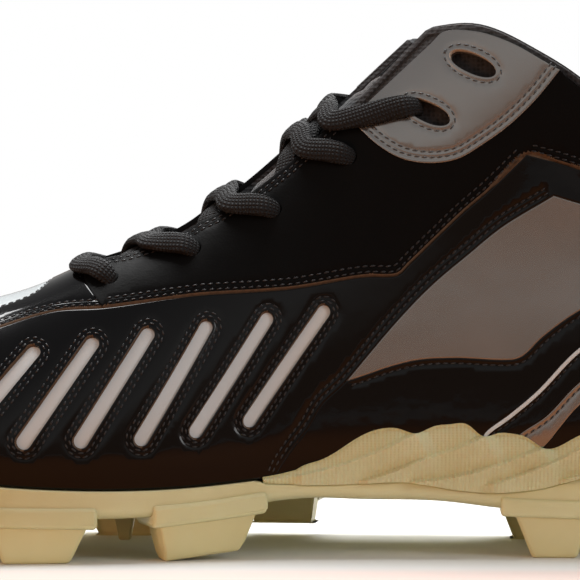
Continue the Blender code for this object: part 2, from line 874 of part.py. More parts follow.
def lug_bodies(row):
    """Base block and stud of one ground lug."""
    lug = dict(zip(LUG_COLUMNS, row))
    side = lug["side"]

    def edge(along):
        x, y, _ = skin(way_at(along), 0.0, side, SOLE_EDGE + LUG_PROUD)
        return Vector((float(x), float(y)))

    front, rear = edge(lug["block_front"]), edge(lug["block_rear"])
    span = lug["block_front"] - lug["block_rear"]
    inward = Vector((rear.y - front.y, front.x - rear.x)).normalized()
    if inward.y * side > 0:
        inward = -inward

    def spot(along, depth, height):
        place = front.lerp(rear, (lug["block_front"] - along) / span) + inward * depth
        return Vector((place.x, place.y, height))

    def block(rearward, across, upward):
        along = mix(lug["block_front"], lug["block_rear"], rearward)
        rim = float(level(mix(lug["rim_front"], lug["rim_rear"], rearward)))
        top = float(plate_height(along)) + PLATE_ROUND
        return spot(along, mix(0, BLOCK_WIDTH, across), mix(rim, top, upward))

    def stud(rearward, across, upward):
        top = mix(lug["neck_front"], lug["neck_rear"], rearward)
        foot = mix(lug["foot_front"], lug["foot_rear"], rearward)
        rim = float(level(mix(lug["rim_front"], lug["rim_rear"], rearward))) + PLATE_ROUND / 2
        ground = float(level(lug["ground"] + lug["lift"] * rearward))
        width = mix(FOOT_WIDTH, NECK_WIDTH, upward)
        outer = mix(FOOT_INSET, NECK_INSET, upward)
        return spot(mix(foot, top, upward), outer + width * across, mix(ground, rim, upward))

    return [hexahedron(f"{lug['name']}_block", block), hexahedron(f"{lug['name']}_stud", stud)]


def nub_body():
    """Small pointed cleat in the middle of the forefoot."""
    centre = LENGTH * (0.5 - NUB_ALONG)
    y = float(last("ridge", NUB_ALONG)) * BALL_WIDTH

    def place(rearward, across, upward):
        half = NUB_LENGTH / 2 * mix(NUB_FOOT, 1, upward)
        height = mix(float(level(NUB_LEVEL)), float(plate_height(NUB_ALONG)) + PLATE_ROUND / 2, upward)
        return Vector((centre + mix(-half, half, rearward), y + mix(-half, half, across), height))

    return hexahedron("nub", place)


def make_outsole():
    """Moulded plate with its lugs and studs."""
    columns = sole_columns()

    def side_foot(along):
        return plate_height(along) + PLATE_ROUND

    rings = [
        foot_ring(columns, SOLE_EDGE, outsole_top),
        foot_ring(columns, SOLE_EDGE, side_foot),
        foot_ring(columns, SOLE_EDGE - PLATE_ROUND, plate_height),
    ]
    thing = loft("outsole", rings)
    thing.data.materials.append(cream_rubber())
    for row in LUGS:
        for body in lug_bodies(row):
            boolean(thing, body, "UNION")
    boolean(thing, nub_body(), "UNION")
    return thing


def make_tongue():
    """Padded tongue under the throat, bent over the instep."""
    points = []
    for along in np.linspace(TONGUE_FRONT, TONGUE_BACK, TONGUE_STEPS + 1):
        way = way_at(along)
        for width in np.linspace(-TONGUE_HALF, TONGUE_HALF, TONGUE_ROWS + 1):
            side = MEDIAL if width < 0 else LATERAL
            up = up_for_width(along, abs(width), side) if width else 1.0
            points.append(skin(way, up, side, -(WALL + TONGUE_DROP)))
    rows = TONGUE_ROWS + 1
    faces = [
        (i * rows + j, (i + 1) * rows + j, (i + 1) * rows + j + 1, i * rows + j + 1)
        for i in range(TONGUE_STEPS)
        for j in range(TONGUE_ROWS)
    ]
    thing = mesh_object("tongue", points, faces, closed=False)
    solidify(thing, TONGUE, -1)
    thing.data.materials.append(black_mesh())
    return thing


def spots(rows):
    """Side view places of (along, level) rows."""
    return [(float(place_x(along, level(rise))), float(level(rise))) for along, rise in rows]


def inset(outline, distance):
    """Closed outline drawn in by a distance."""
    count = len(outline)
    area = sum(
        outline[i][0] * outline[(i + 1) % count][1] - outline[(i + 1) % count][0] * outline[i][1]
        for i in range(count)
    )
    turn = 1 if area > 0 else -1
    drawn = []
    for i in range(count):
        here = Vector(outline[i])
        to = (here - Vector(outline[i - 1])).normalized()
        on = (Vector(outline[(i + 1) % count]) - here).normalized()
        left = Vector((-to.y - on.y, to.x + on.x)) * turn
        if left.length < TINY:
            left = Vector((-to.y, to.x)) * turn
        left.normalize()
        lean = max(left.dot(Vector((-to.y, to.x)) * turn), MITRE)
        drawn.append(here + left * distance / lean)
    return drawn


def flat_prism(name, outline, depth, turned):
    """Prism of a flat outline, as a hidden cutter placed by a matrix."""
    curve = bpy.data.curves.new(name, "CURVE")
    curve.dimensions = "2D"
    curve.fill_mode = "BOTH"
    curve.extrude = depth / 2
    line = curve.splines.new("POLY")
    line.points.add(len(outline) - 1)
    for point, place in zip(line.points, outline):
        point.co = (place[0], place[1], 0, 1)
    line.use_cyclic_u = True
    drawn = link(bpy.data.objects.new(name, curve), CUTTERS)
    graph = bpy.context.evaluated_depsgraph_get()
    mesh = bpy.data.meshes.new_from_object(drawn.evaluated_get(graph))
    bpy.data.objects.remove(drawn)
    work = bmesh.new()
    work.from_mesh(mesh)
    bmesh.ops.remove_doubles(work, verts=work.verts, dist=1e-6)
    bmesh.ops.recalc_face_normals(work, faces=work.faces)
    work.to_mesh(mesh)
    work.free()
    mesh.transform(turned)
    return hide_cutter(link(bpy.data.objects.new(name, mesh), CUTTERS))


def side_prism(name, outline):
    """Prism right through the shoe from an outline in side view."""
    return flat_prism(name, outline, THROUGH, Matrix.Rotation(math.pi / 2, 4, "X"))


def slot_outline(length, width):
    """Stadium, or a circle where the length is the width, along X."""
    half, radius = (length - width) / 2, width / 2
    arc = np.linspace(-math.pi / 2, math.pi / 2, ROUND_SIDES // 2 + 1)
    right = [(half + radius * math.cos(a), radius * math.sin(a)) for a in arc]
    left = [(-x, -y) for x, y in right]
    if half < TINY:
        return right[:-1] + left[:-1]
    return right + left


def panel_slot(row, side):
    """Cutter of one diagonal slot, through one side only."""
    slot = dict(zip(SLOT_COLUMNS, row))
    (top_x, top_z), (foot_x, foot_z) = spots(
        [(slot["top_along"], slot["top_level"]), (slot["foot_along"], slot["foot_level"])]
    )
    length = math.hypot(top_x - foot_x, top_z - foot_z) + SLOT_WIDTH
    tilt = math.atan2(top_z - foot_z, top_x - foot_x)
    centre = ((top_x + foot_x) / 2, side * BALL_WIDTH / 2, (top_z + foot_z) / 2)
    turned = (
        Matrix.Translation(centre) @ Matrix.Rotation(math.pi / 2, 4, "X") @ Matrix.Rotation(tilt, 4, "Z")
    )
    return flat_prism("slot", slot_outline(length, SLOT_WIDTH), SLOT_DEPTH, turned)


def eyelet_frame(row, side):
    """Matrix on the upper's face at an eyelet: X along its slot, Z outward."""
    eyelet = dict(zip(EYELET_COLUMNS, row))
    along = eyelet["along"]
    up = up_for_height(along, float(level(eyelet["level"])), side)
    centre = Vector(skin(way_at(along), up, side))
    outward = (Vector(skin(way_at(along), up, side, PROBE)) - centre).normalized()
    rearward = Vector((math.cos(EYELET_TILT), 0, -math.sin(EYELET_TILT)))
    rearward = (rearward - outward * rearward.dot(outward)).normalized()
    across = outward.cross(rearward)
    turned = Matrix((rearward, across, outward)).transposed().to_4x4()
    return Matrix.Translation(centre) @ turned


def eyelet_cutter(row, side):
    eyelet = dict(zip(EYELET_COLUMNS, row))
    outline = slot_outline(eyelet["length"], EYELET_WIDTH)
    return flat_prism("eyelet", outline, EYELET_DEPTH, eyelet_frame(row, side))


def patch_columns(low, high, side):
    """Columns of the last's face with share along from low to high, on one side or on both."""
    margin = 2 * STATION_STEP
    start, end = way_at(low) - margin, way_at(high) + margin
    if side:
        return [(way, side) for way in stations() if start <= way <= end][::-side]
    if high > THROAT_FRONT:
        ways = [way for way in stations() if way >= start]
        return [(way, MEDIAL) for way in ways] + [(way, LATERAL) for way in reversed(ways[:-1])]
    ways = [way for way in stations() if way <= end]
    return [(way, LATERAL) for way in reversed(ways)] + [(way, MEDIAL) for way in ways[1:]]


def overlay(name, rows, side, finish, cutters=()):
    """Piece that lies on the upper: a shell on its face, cut to a side view outline."""
    alongs = [min(max(along, 0), 1) for along, _ in rows]
    points, faces = face_grid(patch_columns(min(alongs), max(alongs), side), GAP, False)
    thing = mesh_object(name, points, faces, closed=False)
    solidify(thing, OVERLAY, 1)
    boolean(thing, side_prism(f"{name}_outline", inset(spots(rows), GAP / 2)), "INTERSECT")
    for cutter in cutters:
        boolean(thing, cutter, "DIFFERENCE")
    thing.data.materials.append(finish)
    return thing


def make_side_overlays(side, eyelets):
    name = "medial" if side < 0 else "lateral"
    slots = [panel_slot(row, side) for row in SLOTS]
    panel = EYESTAY_FOOT + QUARTER_TOP[::-1] + QUARTER_FRONT + PANEL_REAR + TOE_SEAM[:3]
    overlay(f"side_panel_{name}", panel, side, black_patent(), slots)
    eyestay = EYESTAY_FRONT[::-1] + EYESTAY_FOOT[5:] + STRAP_TOP[::-1] + CAP_FOOT[::-1] + EYESTAY_OVER
    overlay(f"eyestay_{name}", eyestay, side, matte_black(), eyelets[:4])
    overlay(f"eyelet_cap_{name}", CAP_FOOT + CAP_TOP, side, silver_patent(), eyelets[4:])
    quarter = QUARTER_TOP[::-1] + QUARTER_FRONT + QUARTER_FOOT
    overlay(f"quarter_{name}", quarter, side, silver_patent())
    rear = [QUARTER_FRONT[-1]] + QUARTER_FOOT + BAND_TOP[::-1] + PANEL_UNDER + PANEL_REAR[::-1]
    overlay(f"rear_panel_{name}", rear, side, black_patent())


def make_wrapped_overlays():
    """Pieces that run round the toe or the heel."""
    overlay("toe_cap", TOE_SEAM + TOE_FRONT, None, black_patent())
    vamp = VAMP_EDGE + VAMP_OVER + TOE_SEAM[:4:-1]
    overlay("vamp", vamp, None, white_patent())
    strip = EYESTAY_FOOT[:4] + EYESTAY_FRONT + STRIP_OVER + VAMP_EDGE[::-1]
    overlay("throat_strip", strip, None, black_patent())
    overlay("heel_band", BAND_TOP + BAND_BEHIND + BAND_FOOT[::-1], None, silver_patent())
    overlay("heel_counter", BAND_FOOT + COUNTER_UNDER, None, black_patent())
    overlay("back_strap", STRAP, None, black_patent())


def ribbon(name, middles, outwards):
    """Closed flat band along points, its broad face turned outward."""
    points, faces = [], []
    count = len(middles)
    for i in range(count):
        ahead = (middles[min(i + 1, count - 1)] - middles[max(i - 1, 0)]).normalized()
        outward = (outwards[i] - ahead * outwards[i].dot(ahead)).normalized()
        across = ahead.cross(outward)
        for k in range(LACE_SIDES):
            turn = 2 * math.pi * (k + 0.5) / LACE_SIDES
            wide = across * (LACE_WIDTH / 2 * math.cos(turn))
            points.append(middles[i] + wide + outward * (LACE_THICKNESS / 2 * math.sin(turn)))
    for i in range(count - 1):
        a, b = i * LACE_SIDES, (i + 1) * LACE_SIDES
        for k in range(LACE_SIDES):
            on = (k + 1) % LACE_SIDES
            faces.append((a + k, a + on, b + on, b + k))
    faces.append(tuple(range(LACE_SIDES))[::-1])
    faces.append(tuple((count - 1) * LACE_SIDES + k for k in range(LACE_SIDES)))
    thing = mesh_object(name, points, faces)
    thing.data.materials.append(lace_cloth())
    return thing


def lace_route(stops):
    """Points and outward directions of a lace through (along, width from the top line, off) stops."""
    shares = np.linspace(0, len(stops) - 1, LACE_POINTS)
    knots = np.arange(len(stops))
    middles, outwards = [], []
    for share in shares:
        along, width, off = (float(np.interp(share, knots, [stop[k] for stop in stops])) for k in range(3))
        side = MEDIAL if width < 0 else LATERAL
        up = up_for_width(along, abs(width), side)
        middles.append(Vector(skin(way_at(along), up, side, off)))
        outwards.append((middles[-1] - Vector(skin(way_at(along), up, side, off - PROBE))).normalized())
    return middles, outwards


def eyelet_width(row, side):
    """How far an eyelet lies from the top line."""
    along = row[0]
    up = up_for_height(along, float(level(row[1])), side)
    ridge = float(last("ridge", along)) * BALL_WIDTH
    return side * (abs(float(last_point(way_at(along), up, side)[1] - ridge)))


def make_laces():
    """A bar over the front eyelets, then one crossing up to each pair of eyelets."""
    half = THROAT_WIDTH / 2
    front = EYELETS[0]
    bar = [
        (front[0], eyelet_width(front, MEDIAL), BAR_OFF_EYELET),
        (front[0], -half, LACE_OFF_EDGE),
        (front[0], 0.0, LACE_OFF_EDGE),
        (front[0], half, LACE_OFF_EDGE),
        (front[0], eyelet_width(front, LATERAL), BAR_OFF_EYELET),
    ]
    ribbon("lace_bar", *lace_route(bar))
    for i in range(1, len(EYELETS) - 1):
        here, before = EYELETS[i], EYELETS[i - 1]
        strands = []
        for side in (MEDIAL, LATERAL):
            start = mix(before[0], here[0], LACE_START)
            stops = [
                (start, -side * half * LACE_UNDER, LACE_OFF_UNDER),
                (mix(start, here[0], LACE_MIDDLE), 0.0, LACE_OFF_MIDDLE),
                (mix(start, here[0], LACE_OVER), side * half, LACE_OFF_EDGE),
                (here[0], eyelet_width(here, side), LACE_OFF_EYELET),
            ]
            strands.append(ribbon(f"lace_cross_{i + 1}", *lace_route(stops)))
        crossing, other = strands
        bpy.data.collections[COLLECTION].objects.unlink(other)
        hide_cutter(link(other, CUTTERS))
        boolean(crossing, other, "UNION")


def stand_on_origin():
    """Hangs every piece on one empty that centres the sole's box on the origin."""
    corners = []
    graph = bpy.context.evaluated_depsgraph_get()
    for name in ("outsole", "midsole"):
        mesh = bpy.data.objects[name].evaluated_get(graph).data
        corners += [tuple(vertex.co) for vertex in mesh.vertices]
    low, high = np.min(corners, axis=0), np.max(corners, axis=0)
    centre = (low + high) / 2
    shoe = link(bpy.data.objects.new("shoe", None))
    shoe.location = (-centre[0], -centre[1], -low[2])
    for name in (COLLECTION, CUTTERS):
        for thing in bpy.data.collections[name].objects:
            if thing != shoe:
                thing.parent = shoe


def main():
    clear_scene()
    eyelets = {side: [eyelet_cutter(row, side) for row in EYELETS] for side in (MEDIAL, LATERAL)}
    make_upper(eyelets[MEDIAL] + eyelets[LATERAL])
    make_tongue()
    make_insole()
    make_midsole()
    make_outsole()
    for side in (MEDIAL, LATERAL):
        make_side_overlays(side, eyelets[side])
    make_wrapped_overlays()
    make_laces()
    stand_on_origin()


if __name__ == "__main__":
    main()
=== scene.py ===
"""Baseball cleat for the right foot: patent and matte leather panels, stitches, laces, moulded sole.

X runs from the toe to the heel, Y from the medial to the lateral side, Z up from the ground.
"""

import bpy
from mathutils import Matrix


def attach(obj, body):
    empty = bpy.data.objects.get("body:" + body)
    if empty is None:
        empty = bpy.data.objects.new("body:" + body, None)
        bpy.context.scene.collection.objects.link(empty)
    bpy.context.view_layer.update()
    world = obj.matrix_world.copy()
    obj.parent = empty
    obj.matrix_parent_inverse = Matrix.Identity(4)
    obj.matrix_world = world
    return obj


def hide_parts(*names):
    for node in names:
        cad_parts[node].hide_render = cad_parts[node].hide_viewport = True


bl_info = {
    "name": "Baseball cleat",
    "version": (1, 0, 0),
    "blender": (4, 5, 0),
    "location": "View3D > Sidebar > Cleat",
    "description": "Dresses the cleat's solids with leather panels, stitches, laces and a moulded sole",
    "category": "Object",
}

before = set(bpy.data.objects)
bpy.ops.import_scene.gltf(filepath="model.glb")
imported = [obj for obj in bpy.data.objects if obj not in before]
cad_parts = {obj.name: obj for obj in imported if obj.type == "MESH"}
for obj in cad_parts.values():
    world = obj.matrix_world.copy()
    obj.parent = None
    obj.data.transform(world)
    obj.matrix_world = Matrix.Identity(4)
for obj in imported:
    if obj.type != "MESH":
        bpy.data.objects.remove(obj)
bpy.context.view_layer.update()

import math

import bmesh
import bpy
import numpy as np
from bpy.props import FloatProperty, FloatVectorProperty, PointerProperty
from mathutils import Vector
from mathutils.geometry import delaunay_2d_cdt

BODY = "root"
MEDIAL, LATERAL = -1, 1
TINY = 1e-4
MM = 0.001

# Driving sizes of the shoe, in metres
LENGTH = 0.300
BALL_WIDTH = 0.098
HEEL_WIDTH = 0.066
SOLE_HEIGHT = 0.025
INSTEP_RISE = 0.075
COLLAR_RISE = 0.050
THROAT_WIDTH = 0.028
WALL = 0.0022
CUP_WALL = 0.0026
CUP_INNER = 0.0019
SOLE_EDGE = 0.0033
END_SHARE = SOLE_EDGE / LENGTH
PLACE = np.array([0.00049, 0.00108, 0.0])

# Round ends of the last in plan
HEEL_ROUND = 0.115
TOE_ROUND = 0.22
TOE_POWER = 2.3
HEEL_WAY = 6 / 25
TOE_WAY = 7 / 25

# Sections of the last, heel to toe. "along" is a share of LENGTH from the heel, "foot" and "crown"
# are levels, see level().
LAST_COLUMNS = ("along", "ball", "medial", "lateral", "ridge", "foot", "crown", "square")
LAST = [
    (0.00, 0.00, 0.490, 0.495, 0.000, 1.033, 3.720, 5.0),
    (0.12, 0.00, 0.490, 0.505, 0.000, 1.027, 3.720, 5.0),
    (0.24, 0.00, 0.475, 0.520, 0.000, 1.016, 3.600, 4.6),
    (0.34, 0.02, 0.445, 0.555, -0.010, 1.005, 3.230, 3.3),
    (0.42, 0.10, 0.425, 0.575, -0.020, 0.976, 2.810, 2.7),
    (0.50, 0.30, 0.420, 0.575, -0.040, 0.928, 2.355, 2.4),
    (0.58, 0.60, 0.455, 0.548, -0.060, 0.840, 1.983, 2.3),
    (0.66, 0.88, 0.485, 0.515, -0.080, 0.812, 1.822, 2.3),
    (0.74, 1.00, 0.505, 0.490, -0.090, 0.852, 1.678, 2.3),
    (0.82, 1.00, 0.520, 0.450, -0.096, 0.936, 1.600, 2.3),
    (0.90, 1.00, 0.515, 0.390, -0.100, 1.010, 1.530, 2.3),
    (1.00, 1.00, 0.480, 0.290, -0.104, 1.067, 1.450, 2.3),
]

# How far the heel's back lies forward of its rearmost point, in shares of LENGTH
LEAN = [
    (0.80, 0.012), (1.20, 0.002), (1.47, 0.003), (1.80, 0.020), (2.20, 0.031), (2.70, 0.030), (3.20, 0.026),
]
LEAN_REACH = 0.35
LEAN_POWER = 1.5

# The ankle's narrowing and the lower edge's turn toward the sole
ANKLE_WAIST = 0.13
ANKLE_LEVEL = 1.90
ANKLE_SPREAD = 0.42
ANKLE_REACH = 0.50
ANKLE_POWER = 0.7
TUCK = 0.028
TUCK_RISE = 0.16
FOOT_SHARE = 0.08

# Toe profile from the side
TOE_DROP_FROM = 0.82
TOE_DROP_POWER = 2.6
TOE_TIP_SHARE = 0.60
TIP_TURN = 6

# Collar's top line and throat
COLLAR = [
    (0.000, 2.78), (0.040, 2.68), (0.095, 2.56), (0.140, 2.54), (0.185, 2.62), (0.220, 2.76),
    (0.257, 2.89), (0.285, 2.98), (0.317, 3.045), (0.350, 3.04), (0.400, 3.00),
]
THROAT_FRONT = 0.690
THROAT_ROUND = 0.050
THROAT_BACK = 0.340

# Top line of the sole's cup with its waves, the line where it meets the outsole, and the plate's
# underside
CUP_TOP = [
    (0.000, 1.150), (0.060, 1.165), (0.110, 1.120), (0.140, 1.100), (0.180, 1.145), (0.222, 1.125),
    (0.254, 1.084), (0.268, 1.120), (0.282, 1.136), (0.297, 1.137), (0.311, 1.128), (0.324, 1.168),
    (0.340, 1.172), (0.357, 1.163), (0.375, 1.137), (0.388, 1.152), (0.402, 1.157), (0.427, 1.125),
    (0.447, 1.074), (0.465, 1.036), (0.483, 1.012), (0.500, 0.965), (0.520, 0.925),
]
CUP_FRONT = 0.520
JOIN = [
    (0.000, 1.000), (0.120, 0.950), (0.224, 0.888), (0.252, 0.800), (0.280, 0.756), (0.310, 0.744),
    (0.344, 0.788), (0.381, 0.856), (0.410, 0.856), (0.447, 0.832), (0.483, 0.832), (0.520, 0.850),
]
PLATE = [
    (0.000, 0.600), (0.080, 0.510), (0.200, 0.510), (0.300, 0.568), (0.345, 0.632), (0.430, 0.660),
    (0.470, 0.676), (0.510, 0.640), (0.560, 0.552), (0.640, 0.490), (0.740, 0.492), (0.820, 0.528),
    (0.900, 0.620), (1.000, 0.860),
]
PLATE_ROUND = 0.0035
SEAT = 0.0004

# Overlap lines of the cup's waves, as (along, level) rows from a notch down to the join
WAVE_LINES = [
    [(0.375, 1.140), (0.410, 1.073), (0.447, 1.019), (0.483, 0.956)],
    [(0.310, 1.130), (0.335, 1.085), (0.373, 1.033), (0.410, 0.932), (0.420, 0.900)],
    [(0.255, 1.085), (0.298, 1.019), (0.344, 0.920), (0.373, 0.880)],
    [(0.200, 1.130), (0.235, 1.050), (0.275, 0.950), (0.300, 0.860)],
    [(0.140, 1.100), (0.170, 1.040), (0.205, 0.980), (0.230, 0.920)],
]

# Ground lugs, see the columns' names: places along, then levels of the base's lower edge and the foot
LUG_COLUMNS = (
    "name", "side", "block_front", "block_rear", "neck_front", "neck_rear",
    "foot_front", "foot_rear", "rim_front", "rim_rear", "ground", "lift",
)
LUGS = [
    ("toe_medial", -1, 0.918, 0.842, 0.912, 0.848, 0.902, 0.860, 0.48, 0.43, 0.00, 0.00),
    ("ball_medial", -1, 0.773, 0.673, 0.770, 0.680, 0.757, 0.697, 0.412, 0.376, 0.00, 0.00),
    ("waist_medial", -1, 0.623, 0.517, 0.618, 0.525, 0.610, 0.540, 0.376, 0.520, 0.00, 0.10),
    ("heel_medial", -1, 0.293, 0.200, 0.281, 0.207, 0.263, 0.220, 0.476, 0.444, 0.00, 0.00),
    ("back_medial", -1, 0.135, 0.050, 0.128, 0.057, 0.114, 0.070, 0.440, 0.440, 0.00, 0.00),
    ("toe_lateral", 1, 0.878, 0.795, 0.872, 0.802, 0.860, 0.815, 0.46, 0.42, 0.00, 0.00),
    ("ball_lateral", 1, 0.705, 0.615, 0.700, 0.622, 0.688, 0.636, 0.40, 0.38, 0.00, 0.00),
    ("waist_lateral", 1, 0.540, 0.457, 0.534, 0.463, 0.526, 0.468, 0.46, 0.52, 0.17, 0.00),
    ("heel_lateral", 1, 0.293, 0.200, 0.281, 0.207, 0.263, 0.220, 0.476, 0.444, 0.00, 0.00),
    ("back_lateral", 1, 0.135, 0.050, 0.128, 0.057, 0.114, 0.070, 0.440, 0.440, 0.00, 0.00),
]
LUG_PROUD = 0.0008
BLOCK_WIDTH = 0.019
NECK_WIDTH = 0.0125
FOOT_WIDTH = 0.0085
NECK_INSET = 0.0006
FOOT_INSET = 0.0022
NUB_ALONG = 0.653
NUB_LENGTH = 0.0075
NUB_LEVEL = 0.12

# Seams between the leather pieces, as (along, level) rows
VAMP_EDGE = [(0.893, 1.395), (0.833, 1.485), (0.773, 1.585), (0.732, 1.655), (0.718, 1.720), (0.715, 1.850)]
EYESTAY_FOOT = [
    (0.877, 1.310), (0.833, 1.420), (0.763, 1.524), (0.713, 1.584), (0.667, 1.599), (0.603, 1.637),
    (0.577, 1.651), (0.493, 1.677), (0.423, 1.723), (0.390, 1.731), (0.379, 1.772), (0.328, 1.967),
    (0.303, 2.074), (0.265, 2.282), (0.233, 2.234), (0.167, 2.120), (0.083, 2.060), (0.030, 2.040),
]
EYESTAY_FRONT = [(0.667, 1.599), (0.677, 1.650), (0.686, 1.705), (0.688, 1.90)]
CAP_FOOT = [
    (0.428, 2.452), (0.408, 2.338), (0.387, 2.264), (0.362, 2.236), (0.334, 2.258), (0.308, 2.344),
    (0.282, 2.452), (0.255, 2.600), (0.232, 2.760),
]
CAP_TOP = [
    (0.245, 2.800), (0.280, 2.915), (0.313, 2.980), (0.343, 2.980), (0.355, 2.915), (0.390, 2.720),
    (0.424, 2.530),
]
STRAP_TOP = [(0.222, 2.700), (0.185, 2.560), (0.140, 2.480), (0.095, 2.500), (0.030, 2.640)]
QUARTER_FRONT = [
    (0.238, 2.052), (0.290, 1.916), (0.323, 1.813), (0.357, 1.700), (0.390, 1.565), (0.440, 1.331),
]
QUARTER_TOP = [(0.222, 2.024), (0.167, 1.960), (0.107, 1.913), (0.030, 1.887)]
QUARTER_FOOT = [
    (0.423, 1.353), (0.398, 1.387), (0.372, 1.412), (0.338, 1.420), (0.279, 1.416), (0.269, 1.439),
    (0.256, 1.491), (0.222, 1.588), (0.173, 1.680), (0.117, 1.747), (0.030, 1.787),
]
PANEL_REAR = [(0.447, 1.304), (0.462, 1.248), (0.476, 1.156), (0.493, 1.069), (0.507, 0.928), (0.512, 0.700)]
BAND_TOP = [
    (0.310, 0.980), (0.277, 1.128), (0.251, 1.199), (0.222, 1.319), (0.177, 1.453), (0.123, 1.540),
    (0.030, 1.593),
]
BAND_FOOT = [
    (0.290, 0.940), (0.254, 1.083), (0.237, 1.165), (0.222, 1.236), (0.177, 1.373), (0.123, 1.467),
    (0.030, 1.520),
]
PIPING = [
    (0.312, 1.090), (0.307, 1.133), (0.285, 1.200), (0.259, 1.288), (0.222, 1.440), (0.177, 1.560),
    (0.123, 1.640), (0.030, 1.690),
]
TOE_SEAM = [
    (0.843, 0.700), (0.846, 0.900), (0.857, 1.130), (0.877, 1.310), (0.893, 1.395), (0.912, 1.530),
    (0.925, 1.850),
]
BELOW = 0.70

# Diagonal slots of the side panel: top and foot ends
SLOTS = [
    (0.731, 1.440, 0.796, 1.120),
    (0.677, 1.472, 0.738, 1.115),
    (0.626, 1.507, 0.686, 1.118),
    (0.572, 1.533, 0.631, 1.124),
    (0.515, 1.564, 0.581, 1.151),
    (0.461, 1.592, 0.531, 1.188),
]

# Eyelets: four punched rounds, then two slots in the cap, as along, level and length
EYELETS = [
    (0.662, 1.708, 0.0046),
    (0.583, 1.822, 0.0046),
    (0.507, 1.975, 0.0046),
    (0.435, 2.270, 0.0046),
    (0.361, 2.525, 0.0150),
    (0.317, 2.800, 0.0150),
]
EYELET_WIDTH = 0.0046
EYELET_OVAL = 0.0058
EYELET_TILT = math.radians(27)

# Tongue: ends as shares along, half width, depth under the upper, crown, thicknesses, run of its round ends
TONGUE_FRONT = 0.745
TONGUE_BACK = 0.412
TONGUE_HALF = 0.024
TONGUE_DROP = 0.0021
TONGUE_CROWN = 0.0009
TONGUE_THICK = 0.0046
TONGUE_BORDER = 0.0012
TONGUE_MIDDLE = 0.0021
TONGUE_END = 0.009

# Sewn channels across the tongue: shares along, then their width as a share and their depth
TONGUE_CHANNELS = (0.66, 0.60, 0.54, 0.48, 0.43)
CHANNEL_WIDTH = 0.0045
CHANNEL_DEPTH = 0.32

# Upper's fabric wall: columns from heel to toe, rows up each side, gap under the leather
SHELL_COLUMNS = 181
SHELL_ROWS = 34
SHELL_GAP = 0.0001

# Collar pad's section: distance down from the upper's edge and distance off the last, in mm.
# The inner side is full below the rim and runs out at the heel seat.
PAD_SECTION = [
    (3.0, 0.10), (2.9, 0.38), (2.0, 0.55), (0.9, 0.45), (0.0, -0.5), (-0.2, -2.0), (0.2, -3.6), (1.5, -4.9),
    (5.0, -5.9), (11.0, -6.2), (17.0, -5.4), (21.0, -4.3), (23.0, -4.0), (26.0, -4.3), (31.0, -4.1),
    (36.0, -3.1), (38.0, -2.4), (37.5, -1.5), (24.0, -1.4), (6.0, -1.4), (3.5, -1.0),
]
PAD_FULL = 0.24
PAD_FRONT = 0.425
PAD_THIN = 0.30

# Distances off the last, in mm: where each piece starts and where its face lies
LAYERS = {
    "underlay": (0.05, 0.40),
    "side_panel": (0.45, 1.45),
    "quarter": (0.05, 1.05),
    "rear_panel": (0.05, 1.25),
    "eyestay": (0.05, 1.65),
    "eyelet_cap": (0.05, 2.15),
    "vamp": (0.05, 1.10),
    "throat_strip": (0.05, 1.40),
    "toe_cap": (0.05, 1.60),
    "heel_band": (0.05, 1.65),
    "heel_counter": (0.05, 1.35),
    "back_strap": (0.05, 2.20),
}
EDGE_CLEAR = 0.4 * MM
CAP_CLEAR = 2.3 * MM

# Back strap's side edge
STRAP_SIDE = [(0.034, 1.60), (0.034, 2.60)]

# Seams along which a wrapped piece shows its raw edge
RAW_ENDS = {"throat_strip": EYESTAY_FOOT[:5]}

# Punched slots of the side panel: width, then distances of the two stitch rows
SLOT_WIDTH = 4.0 * MM
SLOT_STITCH = 1.2 * MM
SLOT_ROWS = 1.2 * MM
BACKING_REACH = 4 * MM

# Width over which a raw edge is thinned, and the piping's section
SKIVE = 1.2 * MM
PIPING_WIDTH = 1.1 * MM
PIPING_THICK = 0.8 * MM

# Lace: height over the leather, and how far ahead of its eyelet each run crosses the throat's edge
LACE_OVER = 1.65 * MM
EDGE_AHEAD = 0.040
BAR_AHEAD = 0.026
CAP_AHEAD = 0.088

# Stitches: how far a thread lies over the sunk leather and how it slants
STITCH_PROUD = 0.12 * MM
STITCH_TILT = 0.12

# Cup: rings down its side and the share of its wall at the lip
CUP_COLUMNS = 380
CUP_ROWS = 44
CUP_LIP = 0.45

# Insole's section: distance off the last's lower edge and height, in mm. Rings further in than
# INSOLE_FLAT are a share of the way to the middle.
INSOLE_SECTION = [(-3.6, 0.0), (-3.7, 1.0), (-4.0, 2.2), (-5.0, 2.9), (-8.0, 2.7), (-14.0, 2.5)]
INSOLE_FLAT = -6.0

# Edges bent more than this are drawn sharp
SHARP = math.radians(38)

# Warm board: sheet in front of the shoe, just over the floor
BOARD_X = (-1.2, 1.2)
BOARD_Y = (-1.6, -0.066)
BOARD_Z = 0.0015

# Soft lights: name, place, size, share of the key light's power, colour, aim
LIGHTS = [
    ("key", (-0.10, 0.25, 1.25), (0.6, 0.6), 1.0, (1.0, 1.0, 1.0), (0.0, 0.0, 0.06)),
    ("back", (0.2, 1.3, 1.2), (1.2, 0.8), 1.0, (1.0, 1.0, 1.0), (0.0, 0.4, 0.0)),
    ("right", (1.0, -0.75, 0.45), (0.5, 0.6), 0.26, (1.0, 1.0, 1.0), (0.08, 0.0, 0.05)),
    ("warm_left", (-0.75, -0.5, 0.12), (0.3, 0.2), 0.12, (1.0, 0.5, 0.26), (0.0, 0.0, 0.06)),
]

# Room that the shoe reflects: height on the direction's Z and linear colour
ROOM = [(0.10, (0.19, 0.125, 0.09)), (0.24, (0.42, 0.415, 0.405)), (0.80, (0.20, 0.20, 0.205))]

# Camera's place level with the shoe's middle
CAMERA_X = 0.00269
CAMERA_Z = 0.0758


# The last's surface


